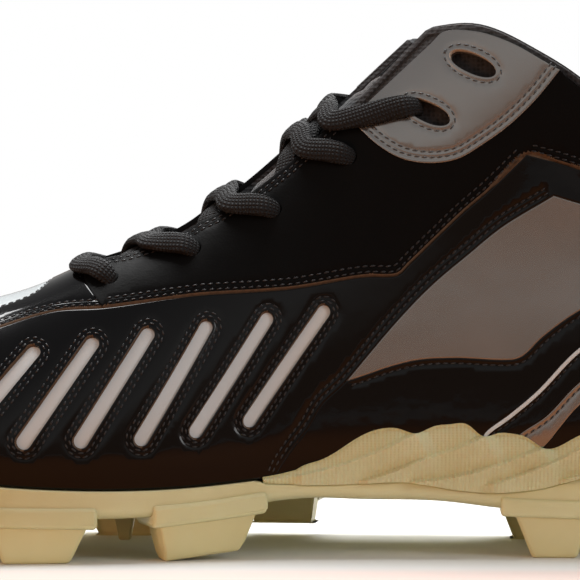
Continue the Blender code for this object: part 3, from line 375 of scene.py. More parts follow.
def level(rise):
    """Height of a level: 0 ground, 1 the sole's top, 2 the instep, 3 the collar's top."""
    rise = np.asarray(rise, float)
    return (
        np.minimum(rise, 1) * SOLE_HEIGHT
        + np.clip(rise - 1, 0, 1) * INSTEP_RISE
        + np.maximum(rise - 2, 0) * COLLAR_RISE
    )


def smooth(rows, column, at):
    """Value of a column on the natural cubic spline through a table's rows."""
    knots = np.array([row[0] for row in rows])
    values = np.array([row[column] for row in rows])
    steps = np.diff(knots)
    count = len(knots)
    system = np.eye(count)
    right = np.zeros(count)
    for i in range(1, count - 1):
        system[i, i - 1 : i + 2] = steps[i - 1], 2 * (steps[i - 1] + steps[i]), steps[i]
        right[i] = 6 * ((values[i + 1] - values[i]) / steps[i] - (values[i] - values[i - 1]) / steps[i - 1])
    bend = np.linalg.solve(system, right)
    at = np.clip(np.asarray(at, float), knots[0], knots[-1])
    i = np.clip(np.searchsorted(knots, at) - 1, 0, count - 2)
    after, before = knots[i + 1] - at, at - knots[i]
    return (
        (bend[i] * after**3 + bend[i + 1] * before**3) / (6 * steps[i])
        + (values[i] / steps[i] - bend[i] * steps[i] / 6) * after
        + (values[i + 1] / steps[i] - bend[i + 1] * steps[i] / 6) * before
    )


def last(name, along):
    return smooth(LAST, LAST_COLUMNS.index(name), along)


def line_height(rows, along):
    """Height of a line given by (along, level) rows."""
    return level(smooth(rows, 1, along))


def along_at(way):
    """Share of the length at a way from 0, the heel's back, to 1, the toe's tip."""
    way = np.asarray(way, float)
    heel = np.clip(way / HEEL_WAY, 0, 1)
    toe = np.clip((way - 1 + TOE_WAY) / TOE_WAY, 0, 1)
    middle = np.clip((way - HEEL_WAY) / (1 - HEEL_WAY - TOE_WAY), 0, 1)
    return (
        END_SHARE
        + HEEL_ROUND * (1 - np.cos(heel * math.pi / 2))
        + (1 - 2 * END_SHARE - HEEL_ROUND - TOE_ROUND) * middle
        + TOE_ROUND * np.sin(toe * math.pi / 2) ** (2 / TOE_POWER)
    )


def end_width(way):
    """Share of the width that the round heel and toe leave."""
    heel = np.clip(way / HEEL_WAY, 0, 1)
    toe = np.clip((way - 1 + TOE_WAY) / TOE_WAY, 0, 1)
    return np.sin(heel * math.pi / 2) * np.maximum(np.cos(toe * math.pi / 2), 0) ** (2 / TOE_POWER)


FINE_WAYS = np.linspace(0, 1, 4001)
FINE_ALONGS = along_at(FINE_WAYS)


def way_at(along):
    return np.interp(along, FINE_ALONGS, FINE_WAYS)


def place_x(along, height):
    """X of a share along at a height: the heel's back leans forward over the sole."""
    rows = [(float(level(row[0])), row[1]) for row in LEAN]
    forward = smooth(rows, 1, height)
    return LENGTH * (0.5 - along - forward * np.clip(1 - along / LEAN_REACH, 0, 1) ** LEAN_POWER)


def foot_and_crown(along):
    """Heights of the last's lower edge and of its top line."""
    foot = level(last("foot", along))
    toe = np.clip((along - TOE_DROP_FROM) / (1 - END_SHARE - TOE_DROP_FROM), 0, 1)
    round_toe = np.maximum(1 - toe**TOE_DROP_POWER, 0) ** (1 / TOE_DROP_POWER)
    full = TOE_TIP_SHARE + (1 - TOE_TIP_SHARE) * round_toe
    return foot, foot + (level(last("crown", along)) - foot) * full


def last_point(way, up, side):
    """Point of the last's outer face. up runs from 0 at the sole to 1 at the top line."""
    way, up = np.broadcast_arrays(np.asarray(way, float), np.asarray(up, float))
    along = along_at(way)
    foot, crown = foot_and_crown(along)
    height = foot + (crown - foot) * up
    width = HEEL_WIDTH + (BALL_WIDTH - HEEL_WIDTH) * last("ball", along)
    ridge = last("ridge", along) * BALL_WIDTH
    half = width * last("medial" if side < 0 else "lateral", along) + side * -ridge
    square = last("square", along)
    rounded = np.maximum(1 - up**square, 0) ** (1 / square)
    waist = ANKLE_WAIST * np.exp(-(((height - level(ANKLE_LEVEL)) / (ANKLE_SPREAD * INSTEP_RISE)) ** 2))
    waist = waist * np.clip(1 - along / ANKLE_REACH, 0, 1) ** ANKLE_POWER
    tuck = TUCK * np.clip(1 - (height - foot) / (TUCK_RISE * INSTEP_RISE), 0, 1) ** 2
    y = ridge + side * half * end_width(way) * rounded * (1 - tuck) * (1 - waist)
    return np.stack([place_x(along, height), y, height], -1) + PLACE


def unit(vectors):
    return vectors / np.maximum(np.linalg.norm(vectors, axis=-1, keepdims=True), 1e-12)


def outward(way, up, side):
    """Direction away from the last's face, level near the sole."""
    way, up = np.broadcast_arrays(np.asarray(way, float), np.asarray(up, float))
    ahead = last_point(np.minimum(way + TINY, 1), up, side) - last_point(np.maximum(way - TINY, 0), up, side)
    rise = last_point(way, up, side) - last_point(way, np.maximum(up - TINY, 0), side)
    start = last_point(way, up + TINY, side) - last_point(way, up, side)
    rise = np.where((up < TINY)[..., None], start, rise)
    normal = unit(np.cross(ahead, rise) * side)
    normal[..., 2] *= np.clip(up / FOOT_SHARE, 0, 1)
    middle = (way < TINY) | (up > 1 - TINY)
    normal[..., 1] = np.where(middle, 0, normal[..., 1])
    tip = np.stack([-np.ones(up.shape), np.zeros(up.shape), up**TIP_TURN], -1)
    return unit(np.where((way > 1 - TINY)[..., None], tip, normal))


def skin(way, up, side, off=0.0):
    """Point at a distance off outward from the last's face."""
    off = np.asarray(off, float)
    return last_point(way, up, side) + outward(way, up, side) * off[..., None]


def up_at(along, height):
    foot, crown = foot_and_crown(along)
    return np.clip((height - foot) / (crown - foot), 0, 1)


def up_for_width(along, width, side):
    """Value of up where the face is a width away from the top line."""
    square = float(last("square", along))
    ups = np.sin(np.linspace(0, math.pi / 2, 400))[::-1] ** (2 / max(square * 0.8, 2))
    ridge = float(last("ridge", along)) * BALL_WIDTH + PLACE[1]
    reach = np.abs(last_point(way_at(along), ups, side)[:, 1] - ridge)
    top = int(np.argmax(reach))
    return np.interp(width, reach[: top + 1], ups[: top + 1])


def edge_up(along, side):
    """Where the upper ends: at the collar's line or the throat's edge, whichever is lower."""
    into = (THROAT_FRONT - along) / THROAT_ROUND
    throat = 1.0
    if into > 0 and along >= THROAT_BACK:
        throat = up_for_width(along, THROAT_WIDTH / 2 * math.sqrt(1 - max(1 - into, 0) ** 2), side)
    if along > COLLAR[-1][0]:
        return throat
    return min(throat, float(up_at(along, line_height(COLLAR, along))))


def travelled(points):
    """Distance covered up to each point of a line, or of each line in a grid."""
    steps = np.cumsum(np.linalg.norm(np.diff(points, axis=-2), axis=-1), axis=-1)
    return np.pad(steps, [(0, 0)] * (steps.ndim - 1) + [(1, 0)])


# The last's face laid flat: "run" is the distance from the heel's back along the side and "girth"
# the distance up from the sole. Both are in metres.
GRID_WAYS = np.linspace(0, 1, 401)
GRID_UPS = np.sin(np.linspace(0, math.pi / 2, 161)) ** 0.8
RUN_UP = 0.4
SIDES = (MEDIAL, LATERAL)
GRID = {side: last_point(GRID_WAYS[:, None], GRID_UPS[None, :], side) for side in SIDES}
GIRTH = {side: travelled(GRID[side]) for side in SIDES}
RUN = np.mean([travelled(last_point(GRID_WAYS, RUN_UP, side)) for side in SIDES], axis=0)
EDGE = {side: np.array([edge_up(float(along), side) for along in along_at(GRID_WAYS)]) for side in SIDES}


def girth_columns(way, side):
    """Distances up the last's face at a way, one for each of GRID_UPS."""
    place = np.clip(np.asarray(way) * (len(GRID_WAYS) - 1), 0, len(GRID_WAYS) - 1 - 1e-9)
    i = place.astype(int)
    share = (place - i)[:, None]
    return GIRTH[side][i] * (1 - share) + GIRTH[side][i + 1] * share


def girth_of(way, up, side):
    columns = girth_columns(way, side)
    return np.array([np.interp(u, GRID_UPS, column) for u, column in zip(up, columns)])


def up_of(way, girth, side):
    columns = girth_columns(way, side)
    return np.array([np.interp(g, column, GRID_UPS) for g, column in zip(girth, columns)])


def spline(rows, step=1.2 * MM):
    """Smooth (along, height) line through (along, level) rows."""
    knots = np.array([(row[0] * LENGTH, float(level(row[1]))) for row in rows])
    if len(knots) > 2:
        knots = curve_through(knots, step)
    return np.column_stack([knots[:, 0] / LENGTH, knots[:, 1]])


def resample(line, step, closed=False):
    """Points along a flat line, about a step apart, with its own corners kept."""
    line = np.asarray(line, float)
    ends = np.roll(line, -1, axis=0) if closed else line[1:]
    points = []
    for start, end in zip(line if closed else line[:-1], ends):
        count = max(int(math.ceil(np.linalg.norm(end - start) / step)), 1)
        points += [start + (end - start) * k / count for k in range(count)]
    if not closed:
        points.append(line[-1])
    return np.array(points)


def flat_line(zone, side, rows, step=1.2 * MM, margin=0.0):
    """Flat points of a seam on one side, cut off at the sole and at the upper's edge.

    Zones: "side" is (run, girth), "heel" has the lateral side's run positive and the medial side's
    negative, "toe" is (run, distance from the top line), negative on the medial side.
    """
    line = resample(spline(rows) * (LENGTH, 1), step) / (LENGTH, 1)
    along, height = np.clip(line[:, 0], END_SHARE, 1 - END_SHARE), line[:, 1]
    way = way_at(along)
    up = np.minimum(up_at(along, height), np.interp(way, GRID_WAYS, EDGE[side]))
    return flat_points(zone, side, way, up, margin)


def flat_points(zone, side, way, up, margin=0.0):
    run = np.interp(way, GRID_WAYS, RUN)
    girth = girth_of(way, up, side)
    if margin:
        edge = girth_of(way, np.interp(way, GRID_WAYS, EDGE[side]), side)
        girth = np.minimum(girth, edge - margin)
    if zone == "toe":
        return np.column_stack([run, side * (girth_of(way, np.ones(len(way)), side) - girth)])
    if zone == "heel":
        return np.column_stack([side * run, girth])
    return np.column_stack([run, girth])


def lift(zone, side, flat, off):
    """Points and outward directions of flat points, at a distance off the last's face."""
    flat = np.asarray(flat, float)
    off = np.broadcast_to(np.asarray(off, float), len(flat))
    points, normals = np.zeros((len(flat), 3)), np.zeros((len(flat), 3))
    across = flat[:, 1] if zone == "toe" else flat[:, 0]
    way = np.interp(np.abs(flat[:, 0]), RUN, GRID_WAYS)
    for here in SIDES:
        if zone == "side":
            mask = np.full(len(flat), here == side)
        else:
            mask = across >= 0 if here == LATERAL else across < 0
        if not mask.any():
            continue
        girth = flat[mask, 1]
        if zone == "toe":
            girth = girth_of(way[mask], np.ones(mask.sum()), here) - np.abs(girth)
        up = up_of(way[mask], girth, here)
        normals[mask] = outward(way[mask], up, here)
        points[mask] = last_point(way[mask], up, here) + normals[mask] * off[mask, None]
    return points, normals


def side_line(flat, distance, trim=0.0):
    """Line beside a flat line: at its left for a positive distance, trimmed at both ends."""
    line = resample(flat, 0.8 * MM)
    step = np.linalg.norm(np.diff(line, axis=0), axis=1)
    line = line[np.concatenate([[True], step > 1e-7])]
    ahead = unit(np.gradient(line, axis=0))
    left = np.column_stack([-ahead[:, 1], ahead[:, 0]])
    for _ in range(3):
        left[1:-1] = unit(left[:-2] + left[1:-1] + left[2:])
    moved = line + left * distance
    run = travelled(moved)
    return moved[(run >= trim) & (run <= run[-1] - trim)]


def turned(tilt):
    """Matrix that turns flat rows of points."""
    return np.array([[math.cos(tilt), math.sin(tilt)], [-math.sin(tilt), math.cos(tilt)]])


def stadium(centre, tilt, length, width, corners=10):
    """Closed flat outline of a slot with round ends."""
    half, radius = (length - width) / 2, width / 2
    arc = np.linspace(-math.pi / 2, math.pi / 2, corners)
    right = np.column_stack([half + radius * np.cos(arc), radius * np.sin(arc)])
    outline = np.vstack([right, -right]) if half > TINY else np.vstack([right[:-1], -right[:-1]])
    return outline @ turned(tilt) + centre


def inside(points, outline):
    """Which points lie inside a closed flat outline."""
    x, y = points[:, 0][:, None], points[:, 1][:, None]
    a, b = outline, np.roll(outline, -1, axis=0)
    crosses = (a[:, 1] > y) != (b[:, 1] > y)
    with np.errstate(divide="ignore", invalid="ignore"):
        at = a[:, 0] + (y - a[:, 1]) * (b[:, 0] - a[:, 0]) / (b[:, 1] - a[:, 1])
    return (crosses & (x < at)).sum(axis=1) % 2 == 1


def reach(points, lines):
    """Distance from each flat point to the nearest of some lines."""
    nearest = np.full(len(points), 1.0)
    for line in lines:
        a, b = line[:-1], line[1:]
        along = b - a
        size = np.maximum((along**2).sum(axis=1), 1e-14)
        share = np.clip(((points[:, None] - a) * along).sum(axis=2) / size, 0, 1)
        gap = np.linalg.norm(points[:, None] - (a + along * share[..., None]), axis=2)
        nearest = np.minimum(nearest, gap.min(axis=1))
    return nearest


# Settings


def linear(hex_colour):
    """Linear colour of an sRGB hex value."""
    parts = [int(hex_colour[i : i + 2], 16) / 255 for i in (1, 3, 5)]
    return tuple(p / 12.92 if p <= 0.04045 else ((p + 0.055) / 1.055) ** 2.4 for p in parts)


def length_property(name, description, default):
    return FloatProperty(
        name=name, description=description, default=default, min=0.0, unit="LENGTH", precision=5
    )


def colour_property(name, description, hex_colour):
    shade = linear(hex_colour)
    return FloatVectorProperty(
        name=name, description=description, default=shade, size=3, min=0.0, max=1.0, subtype="COLOR"
    )


class CleatStitches(bpy.types.PropertyGroup):
    pitch: length_property("Pitch", "Distance from one stitch to the next", 0.0022)
    length: length_property("Length", "Visible length of one stitch", 0.0017)
    width: length_property("Width", "Width of the thread", 0.00055)
    inset: length_property("Inset", "Distance of the first row from a cut edge", 0.0015)
    rows: length_property("Row distance", "Distance between the two rows of a double seam", 0.0016)
    sink: length_property("Sink", "Depth that a row pulls into the leather", 0.00022)
    thread: colour_property("Thread", "Colour of the sewing thread", "#17161A")


class CleatLeather(bpy.types.PropertyGroup):
    bevel: length_property("Edge round", "Rounding of a cut edge", 0.00022)
    mesh: length_property("Mesh size", "Size of the faces on a leather piece", 0.0019)
    black: colour_property("Black patent", "Black patent leather", "#070708")
    matte: colour_property("Matte black", "Smooth matte black leather", "#090909")
    silver: colour_property("Silver patent", "Silver-grey patent leather", "#A9A8A6")
    white: colour_property("White patent", "White patent leather under the slots and on the vamp", "#DCE6EA")
    edge: colour_property("Cut edge", "Raw brown edge of the leather", "#54412F")


class CleatLace(bpy.types.PropertyGroup):
    width: length_property("Width", "Width of the flat oval lace", 0.0068)
    thickness: length_property("Thickness", "Thickness of the lace", 0.0030)
    colour: colour_property("Colour", "Colour of the lace", "#18181A")


class CleatSole(bpy.types.PropertyGroup):
    wave_step: length_property("Wave step", "How far each wave of the cup stands over the next", 0.0025)
    wave_fade: length_property("Wave fade", "Distance over which a wave falls back", 0.0075)
    lug_round: length_property("Lug rounding", "Rounding of the lugs' edges", 0.0013)
    cream: colour_property("Cream rubber", "Moulded rubber of the plate and the cup", "#D8D4A8")
    stud: colour_property("Stud rubber", "Clearer rubber of the studs", "#D6CC9C")


class CleatStudio(bpy.types.PropertyGroup):
    floor: colour_property("Floor", "Pale studio floor", "#EDEDEB")
    board: colour_property("Warm board", "Board whose colour shows in reflections", "#9C6238")
    floor_size: length_property("Floor size", "Side of the square floor", 14.0)
    key: FloatProperty(name="Key light", description="Power of the soft light above, in watts", default=17.0)
    distance: length_property("Camera distance", "Distance of the camera from the shoe's middle", 0.79392)
    focal: FloatProperty(name="Focal length", description="Camera lens in millimetres", default=167.586)


# Nodes and materials


def add(tree, kind, inputs=(), **options):
    """Adds a node, with its settings and its inputs: values or the sockets that feed them."""
    made = tree.nodes.new(kind)
    for name, value in options.items():
        setattr(made, name, value)
    for name, value in dict(inputs).items():
        if isinstance(value, bpy.types.NodeSocket):
            tree.links.new(value, made.inputs[name])
        else:
            made.inputs[name].default_value = value
    return made


def new_material(name, colour, **shader_values):
    """Material with one shader, and that shader."""
    made = bpy.data.materials.new(name)
    made.use_nodes = True
    shader = made.node_tree.nodes["Principled BSDF"]
    shader.inputs["Base Color"].default_value = (*colour, 1)
    for key, value in shader_values.items():
        shader.inputs[key.replace("_", " ")].default_value = value
    return made, made.node_tree, shader


def patent(name, colour, rough=0.16, wrinkle=0.00005, coat=0.5, pearl=0.0):
    """Patent leather: a lacquer coat over smooth leather, with soft hollows that bend reflections.

    pearl is the share of metallic pigment under the lacquer.
    """
    made, tree, shader = new_material(
        name,
        colour,
        Roughness=rough,
        Metallic=pearl,
        Coat_Weight=coat,
        Coat_Roughness=0.05,
        Specular_IOR_Level=0.1,
    )
    place = add(tree, "ShaderNodeTexCoord").outputs["Object"]
    # hollows of about 9 mm, fine orange peel of 0.8 mm
    hollow = add(tree, "ShaderNodeTexNoise", {"Vector": place, "Scale": 110.0, "Detail": 2.0})
    peel = add(tree, "ShaderNodeTexNoise", {"Vector": place, "Scale": 1250.0, "Detail": 1.0})
    soft = {"Strength": 1.0, "Distance": wrinkle * 1.2, "Height": hollow.outputs["Fac"]}
    fine = {"Strength": 0.12, "Distance": wrinkle * 0.3, "Height": peel.outputs["Fac"]}
    fine["Normal"] = add(tree, "ShaderNodeBump", soft).outputs["Normal"]
    bump = add(tree, "ShaderNodeBump", fine)
    tree.links.new(bump.outputs["Normal"], shader.inputs["Normal"])
    tree.links.new(bump.outputs["Normal"], shader.inputs["Coat Normal"])
    smear = add(tree, "ShaderNodeTexNoise", {"Vector": place, "Scale": 60.0, "Detail": 3.0}).outputs["Fac"]
    dull = add(tree, "ShaderNodeMapRange", {"Value": smear, "To Min": rough * 0.75, "To Max": rough * 1.4})
    tree.links.new(dull.outputs["Result"], shader.inputs["Roughness"])
    return made


def matte_leather(name, colour):
    """Smooth matte leather: fine close grain of about 0.7 mm with a low sheen."""
    made, tree, shader = new_material(name, colour, Roughness=0.5, Specular_IOR_Level=0.08)
    place = add(tree, "ShaderNodeTexCoord").outputs["Object"]
    cells = add(tree, "ShaderNodeTexVoronoi", {"Vector": place, "Scale": 1500.0})
    crease = add(tree, "ShaderNodeTexNoise", {"Vector": place, "Scale": 140.0, "Detail": 3.0})
    grain = {"Strength": 0.5, "Distance": 0.00004, "Height": cells.outputs["Distance"]}
    soft = {"Strength": 0.8, "Distance": 0.00016, "Height": crease.outputs["Fac"]}
    soft["Normal"] = add(tree, "ShaderNodeBump", grain).outputs["Normal"]
    bump = add(tree, "ShaderNodeBump", soft)
    tree.links.new(bump.outputs["Normal"], shader.inputs["Normal"])
    dull = add(tree, "ShaderNodeMapRange", {"Value": crease.outputs["Fac"], "To Min": 0.38, "To Max": 0.56})
    tree.links.new(dull.outputs["Result"], shader.inputs["Roughness"])
    return made


def cut_edge(name, colour):
    """Raw edge of split leather: brown, fibrous and dull."""
    made, tree, shader = new_material(name, colour, Roughness=0.85)
    place = add(tree, "ShaderNodeTexCoord").outputs["Object"]
    fibre = add(tree, "ShaderNodeTexNoise", {"Vector": place, "Scale": 900.0, "Detail": 4.0})
    ramp = add(tree, "ShaderNodeValToRGB", {"Fac": fibre.outputs["Fac"]})
    ramp.color_ramp.elements[0].color = (*[c * 0.4 for c in colour], 1)
    ramp.color_ramp.elements[1].color = (*[min(c * 1.7, 1) for c in colour], 1)
    tree.links.new(ramp.outputs["Color"], shader.inputs["Base Color"])
    split = {"Strength": 0.6, "Distance": 0.0001, "Height": fibre.outputs["Fac"]}
    bump = add(tree, "ShaderNodeBump", split)
    tree.links.new(bump.outputs["Normal"], shader.inputs["Normal"])
    return made


def knit_mesh(name, colour):
    """Spacer mesh lining: open knit with holes about 1.3 mm apart, the holes painted darker as painted shade
    for their depth.
    """
    made, tree, shader = new_material(name, colour, Roughness=0.9, Sheen_Weight=0.25, Sheen_Roughness=0.5)
    place = add(tree, "ShaderNodeTexCoord").outputs["Object"]
    holes = add(tree, "ShaderNodeTexVoronoi", {"Vector": place, "Scale": 780.0, "Randomness": 0.25})
    # the holes are painted near black and the yarn between them lighter: painted shade in the knit's holes
    ramp = add(tree, "ShaderNodeValToRGB", {"Fac": holes.outputs["Distance"]})
    ramp.color_ramp.elements[0].position = 0.15
    ramp.color_ramp.elements[0].color = (*[c * 0.15 for c in colour], 1)
    ramp.color_ramp.elements[1].position = 0.55
    ramp.color_ramp.elements[1].color = (*[min(c * 1.9, 1) for c in colour], 1)
    tree.links.new(ramp.outputs["Color"], shader.inputs["Base Color"])
    knit = {"Strength": 0.9, "Distance": 0.0004, "Height": holes.outputs["Distance"]}
    bump = add(tree, "ShaderNodeBump", knit)
    tree.links.new(bump.outputs["Normal"], shader.inputs["Normal"])
    return made


def woven_lace(name, colour):
    """Knitted polyester: ribs 1 mm apart across the lace and columns of 1.1 mm along it, with painted shade
    in the hollows between the ribs and painted highlights on their tops.
    """
    made, tree, shader = new_material(name, colour, Roughness=0.7, Specular_IOR_Level=0.3)
    chart = add(tree, "ShaderNodeUVMap", uv_map="UVMap").outputs["UV"]
    heights = []
    for lean, scale in ((0.12, 310.0), (math.pi / 2 + 0.12, 280.0)):
        leant = add(tree, "ShaderNodeMapping", {"Vector": chart, "Rotation": (0, 0, lean)})
        ribs = {"Vector": leant.outputs["Vector"], "Scale": scale}
        heights.append(add(tree, "ShaderNodeTexWave", ribs, wave_type="BANDS").outputs["Fac"])
    braid = add(tree, "ShaderNodeMath", {0: heights[0], 1: heights[1]}, operation="MULTIPLY")
    # the ramp paints the hollows between the ribs darker and the rib tops lighter: painted shade and painted
    # highlight
    ramp = add(tree, "ShaderNodeValToRGB", {"Fac": braid.outputs["Value"]})
    ramp.color_ramp.elements[0].color = (*[c * 0.25 for c in colour], 1)
    ramp.color_ramp.elements[1].color = (*[min(c * 1.9, 1) for c in colour], 1)
    tree.links.new(ramp.outputs["Color"], shader.inputs["Base Color"])
    knot = {"Strength": 0.9, "Distance": 0.0005, "Height": braid.outputs["Value"]}
    bump = add(tree, "ShaderNodeBump", knot)
    tree.links.new(bump.outputs["Normal"], shader.inputs["Normal"])
    return made


def sewing_thread(name, colour):
    """Bonded nylon thread: twisted, slightly glossy."""
    made, tree, shader = new_material(name, colour, Roughness=0.42, Specular_IOR_Level=0.6)
    place = add(tree, "ShaderNodeTexCoord").outputs["Object"]
    twist = add(tree, "ShaderNodeTexNoise", {"Vector": place, "Scale": 3500.0}).outputs["Fac"]
    bump = add(tree, "ShaderNodeBump", {"Strength": 0.5, "Distance": 0.00006, "Height": twist})
    tree.links.new(bump.outputs["Normal"], shader.inputs["Normal"])
    return made


def moulded_rubber(name, colour, texture=0.00006):
    """Cream moulded rubber: satin, slightly translucent looking, with a fine spark texture."""
    made, tree, shader = new_material(
        name, colour, Roughness=0.42, Specular_IOR_Level=0.45,
        Subsurface_Weight=0.12, Subsurface_Scale=0.004,
    )
    shader.inputs["Subsurface Radius"].default_value = (1.0, 0.75, 0.4)
    place = add(tree, "ShaderNodeTexCoord").outputs["Object"]
    cloud = add(tree, "ShaderNodeTexNoise", {"Vector": place, "Scale": 32.0, "Detail": 3.0})
    ramp = add(tree, "ShaderNodeValToRGB", {"Fac": cloud.outputs["Fac"]})
    ramp.color_ramp.elements[0].position = 0.3
    ramp.color_ramp.elements[0].color = (colour[0] * 0.93, colour[1] * 0.90, colour[2] * 0.80, 1)
    ramp.color_ramp.elements[1].position = 0.7
    ramp.color_ramp.elements[1].color = (*[min(c * 1.05, 1) for c in colour], 1)
    tree.links.new(ramp.outputs["Color"], shader.inputs["Base Color"])
    spark = add(tree, "ShaderNodeTexNoise", {"Vector": place, "Scale": 2200.0, "Detail": 1.0}).outputs["Fac"]
    bump = add(tree, "ShaderNodeBump", {"Strength": 0.6, "Distance": texture, "Height": spark})
    tree.links.new(bump.outputs["Normal"], shader.inputs["Normal"])
    return made


def brushed_cup(name, colour):
    """The cup's waves: cream rubber with upright ribs 1.1 mm apart, crossed by finer lines."""
    made, tree, shader = new_material(
        name, colour, Roughness=0.5, Specular_IOR_Level=0.4,
        Subsurface_Weight=0.1, Subsurface_Scale=0.004,
    )
    place = add(tree, "ShaderNodeTexCoord").outputs["Object"]
    shade = add(tree, "ShaderNodeTexNoise", {"Vector": place, "Scale": 45.0, "Detail": 3.0})
    ramp = add(tree, "ShaderNodeValToRGB", {"Fac": shade.outputs["Fac"]})
    ramp.color_ramp.elements[0].position = 0.3
    ramp.color_ramp.elements[0].color = (colour[0] * 0.9, colour[1] * 0.88, colour[2] * 0.8, 1)
    ramp.color_ramp.elements[1].position = 0.7
    ramp.color_ramp.elements[1].color = (*colour, 1)
    tree.links.new(ramp.outputs["Color"], shader.inputs["Base Color"])
    heights = []
    for direction, scale in (("X", 285.0), ("Z", 420.0)):
        ribs = {"Vector": place, "Scale": scale, "Distortion": 0.5}
        lines = add(tree, "ShaderNodeTexWave", ribs, wave_type="BANDS", bands_direction=direction)
        heights.append(lines.outputs["Fac"])
    both = add(tree, "ShaderNodeMath", {0: heights[1], 1: 0.35, 2: heights[0]}, operation="MULTIPLY_ADD")
    ribbed = {"Strength": 0.8, "Distance": 0.00016, "Height": both.outputs["Value"]}
    bump = add(tree, "ShaderNodeBump", ribbed)
    tree.links.new(bump.outputs["Normal"], shader.inputs["Normal"])
    return made


def insole_cloth(name, colour):
    """Brushed knit over foam: soft, dull, with a fine rib 1 mm apart."""
    made, tree, shader = new_material(name, colour, Roughness=0.95, Sheen_Weight=0.4)
    place = {"Vector": add(tree, "ShaderNodeTexCoord").outputs["Object"], "Scale": 310.0}
    ribs = add(tree, "ShaderNodeTexWave", place, wave_type="BANDS", bands_direction="Y").outputs["Fac"]
    bump = add(tree, "ShaderNodeBump", {"Strength": 0.5, "Distance": 0.00015, "Height": ribs})
    tree.links.new(bump.outputs["Normal"], shader.inputs["Normal"])
    return made


def studio_floor(name, colour):
    """Pale paper sweep: flat and dull."""
    made, tree, shader = new_material(name, colour, Roughness=0.8, Specular_IOR_Level=0.15)
    place = add(tree, "ShaderNodeTexCoord").outputs["Object"]
    tooth = add(tree, "ShaderNodeTexNoise", {"Vector": place, "Scale": 700.0}).outputs["Fac"]
    bump = add(tree, "ShaderNodeBump", {"Strength": 0.1, "Distance": 0.0001, "Height": tooth})
    tree.links.new(bump.outputs["Normal"], shader.inputs["Normal"])
    return made


FINISHES = {}


def finish(name):
    """The material of that name, made once from the settings."""
    if name not in FINISHES:
        cleat = bpy.context.scene.cleat_leather
        sole = bpy.context.scene.cleat_sole
        makers = {
            "black_patent": lambda: patent("black_patent_leather", cleat.black),
            "silver_patent": lambda: patent("silver_patent_leather", cleat.silver, 0.22, coat=0.4, pearl=0.9),
            "white_patent": lambda: patent("white_patent_leather", cleat.white, 0.2, pearl=0.2),
            "matte_leather": lambda: matte_leather("matte_black_leather", cleat.matte),
            "cut_edge": lambda: cut_edge("raw_leather_edge", cleat.edge),
            "pale_edge": lambda: cut_edge("pale_leather_edge", linear("#B9AFA2")),
            "black_mesh": lambda: knit_mesh("black_spacer_mesh", linear("#1A1A1C")),
            "lace_cloth": lambda: woven_lace("braided_polyester_lace", bpy.context.scene.cleat_lace.colour),
            "thread": lambda: sewing_thread("bonded_nylon_thread", bpy.context.scene.cleat_stitches.thread),
            "grey_thread": lambda: sewing_thread("grey_nylon_thread", linear("#3E4347")),
            "cream_rubber": lambda: moulded_rubber("cream_moulded_rubber", sole.cream),
            "cup_rubber": lambda: brushed_cup("cream_lined_rubber", sole.cream),
            "stud_rubber": lambda: moulded_rubber("clear_cream_rubber", sole.stud, 0.00003),
            "insole_cloth": lambda: insole_cloth("black_brushed_knit", linear("#1B1B1D")),
        }
        FINISHES[name] = makers[name]()
    return FINISHES[name]


# Mesh tools

SEAMS = []


def new_piece(name, points, faces, finishes, picks=None, chart=None):
    """Mesh object with smooth faces. picks are material numbers of faces, chart a UV place per point."""
    mesh = bpy.data.meshes.new(name)
    corners = [tuple(map(int, face)) for face in faces]
    mesh.from_pydata([tuple(map(float, point)) for point in points], [], corners)
    for each in finishes:
        mesh.materials.append(finish(each))
    if picks is not None:
        mesh.polygons.foreach_set("material_index", np.asarray(picks, np.int32))
    if chart is not None:
        layer = mesh.uv_layers.new(name="UVMap")
        corners = np.zeros(len(mesh.loops), np.int32)
        mesh.loops.foreach_get("vertex_index", corners)
        layer.data.foreach_set("uv", np.asarray(chart, np.float32)[corners].ravel())
    thing = bpy.data.objects.new(name, mesh)
    bpy.context.scene.collection.objects.link(thing)
    return thing


def tidy(thing, weld=1e-6, outwards=True):
    """Merges doubles, turns faces outward and marks the sharp edges."""
    work = bmesh.new()
    work.from_mesh(thing.data)
    bmesh.ops.remove_doubles(work, verts=work.verts, dist=weld)
    bmesh.ops.dissolve_degenerate(work, edges=work.edges, dist=1e-7)
    if outwards:
        bmesh.ops.recalc_face_normals(work, faces=work.faces)
    work.to_mesh(thing.data)
    work.free()
    thing.data.shade_smooth()
    thing.data.set_sharp_from_angle(angle=SHARP)
    return thing


def plain(thing):
    """Turns an object's live modifiers into its mesh."""
    graph = bpy.context.evaluated_depsgraph_get()
    mesh = bpy.data.meshes.new_from_object(
        thing.evaluated_get(graph), preserve_all_data_layers=True, depsgraph=graph
    )
    mesh.name = thing.name
    thing.modifiers.clear()
    thing.data = mesh
    return thing


def settle(thing, slot, *nodes):
    """The piece rides on the shoe and stands for CAD nodes; slot is not used."""
    if not thing.data.polygons:
        raise RuntimeError(f"{thing.name} came out empty")
    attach(thing, BODY)
    if nodes:
        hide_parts(*nodes)
    return thing


def to_zone(zone, side, flat):
    """Flat points of the side zone in another zone's measure."""
    if zone == "side":
        return flat
    if zone == "heel":
        return np.column_stack([side * flat[:, 0], flat[:, 1]])
    way = np.interp(flat[:, 0], RUN, GRID_WAYS)
    return np.column_stack([flat[:, 0], side * (girth_of(way, np.ones(len(way)), side) - flat[:, 1])])


def close(line):
    return np.vstack([line, line[:1]])


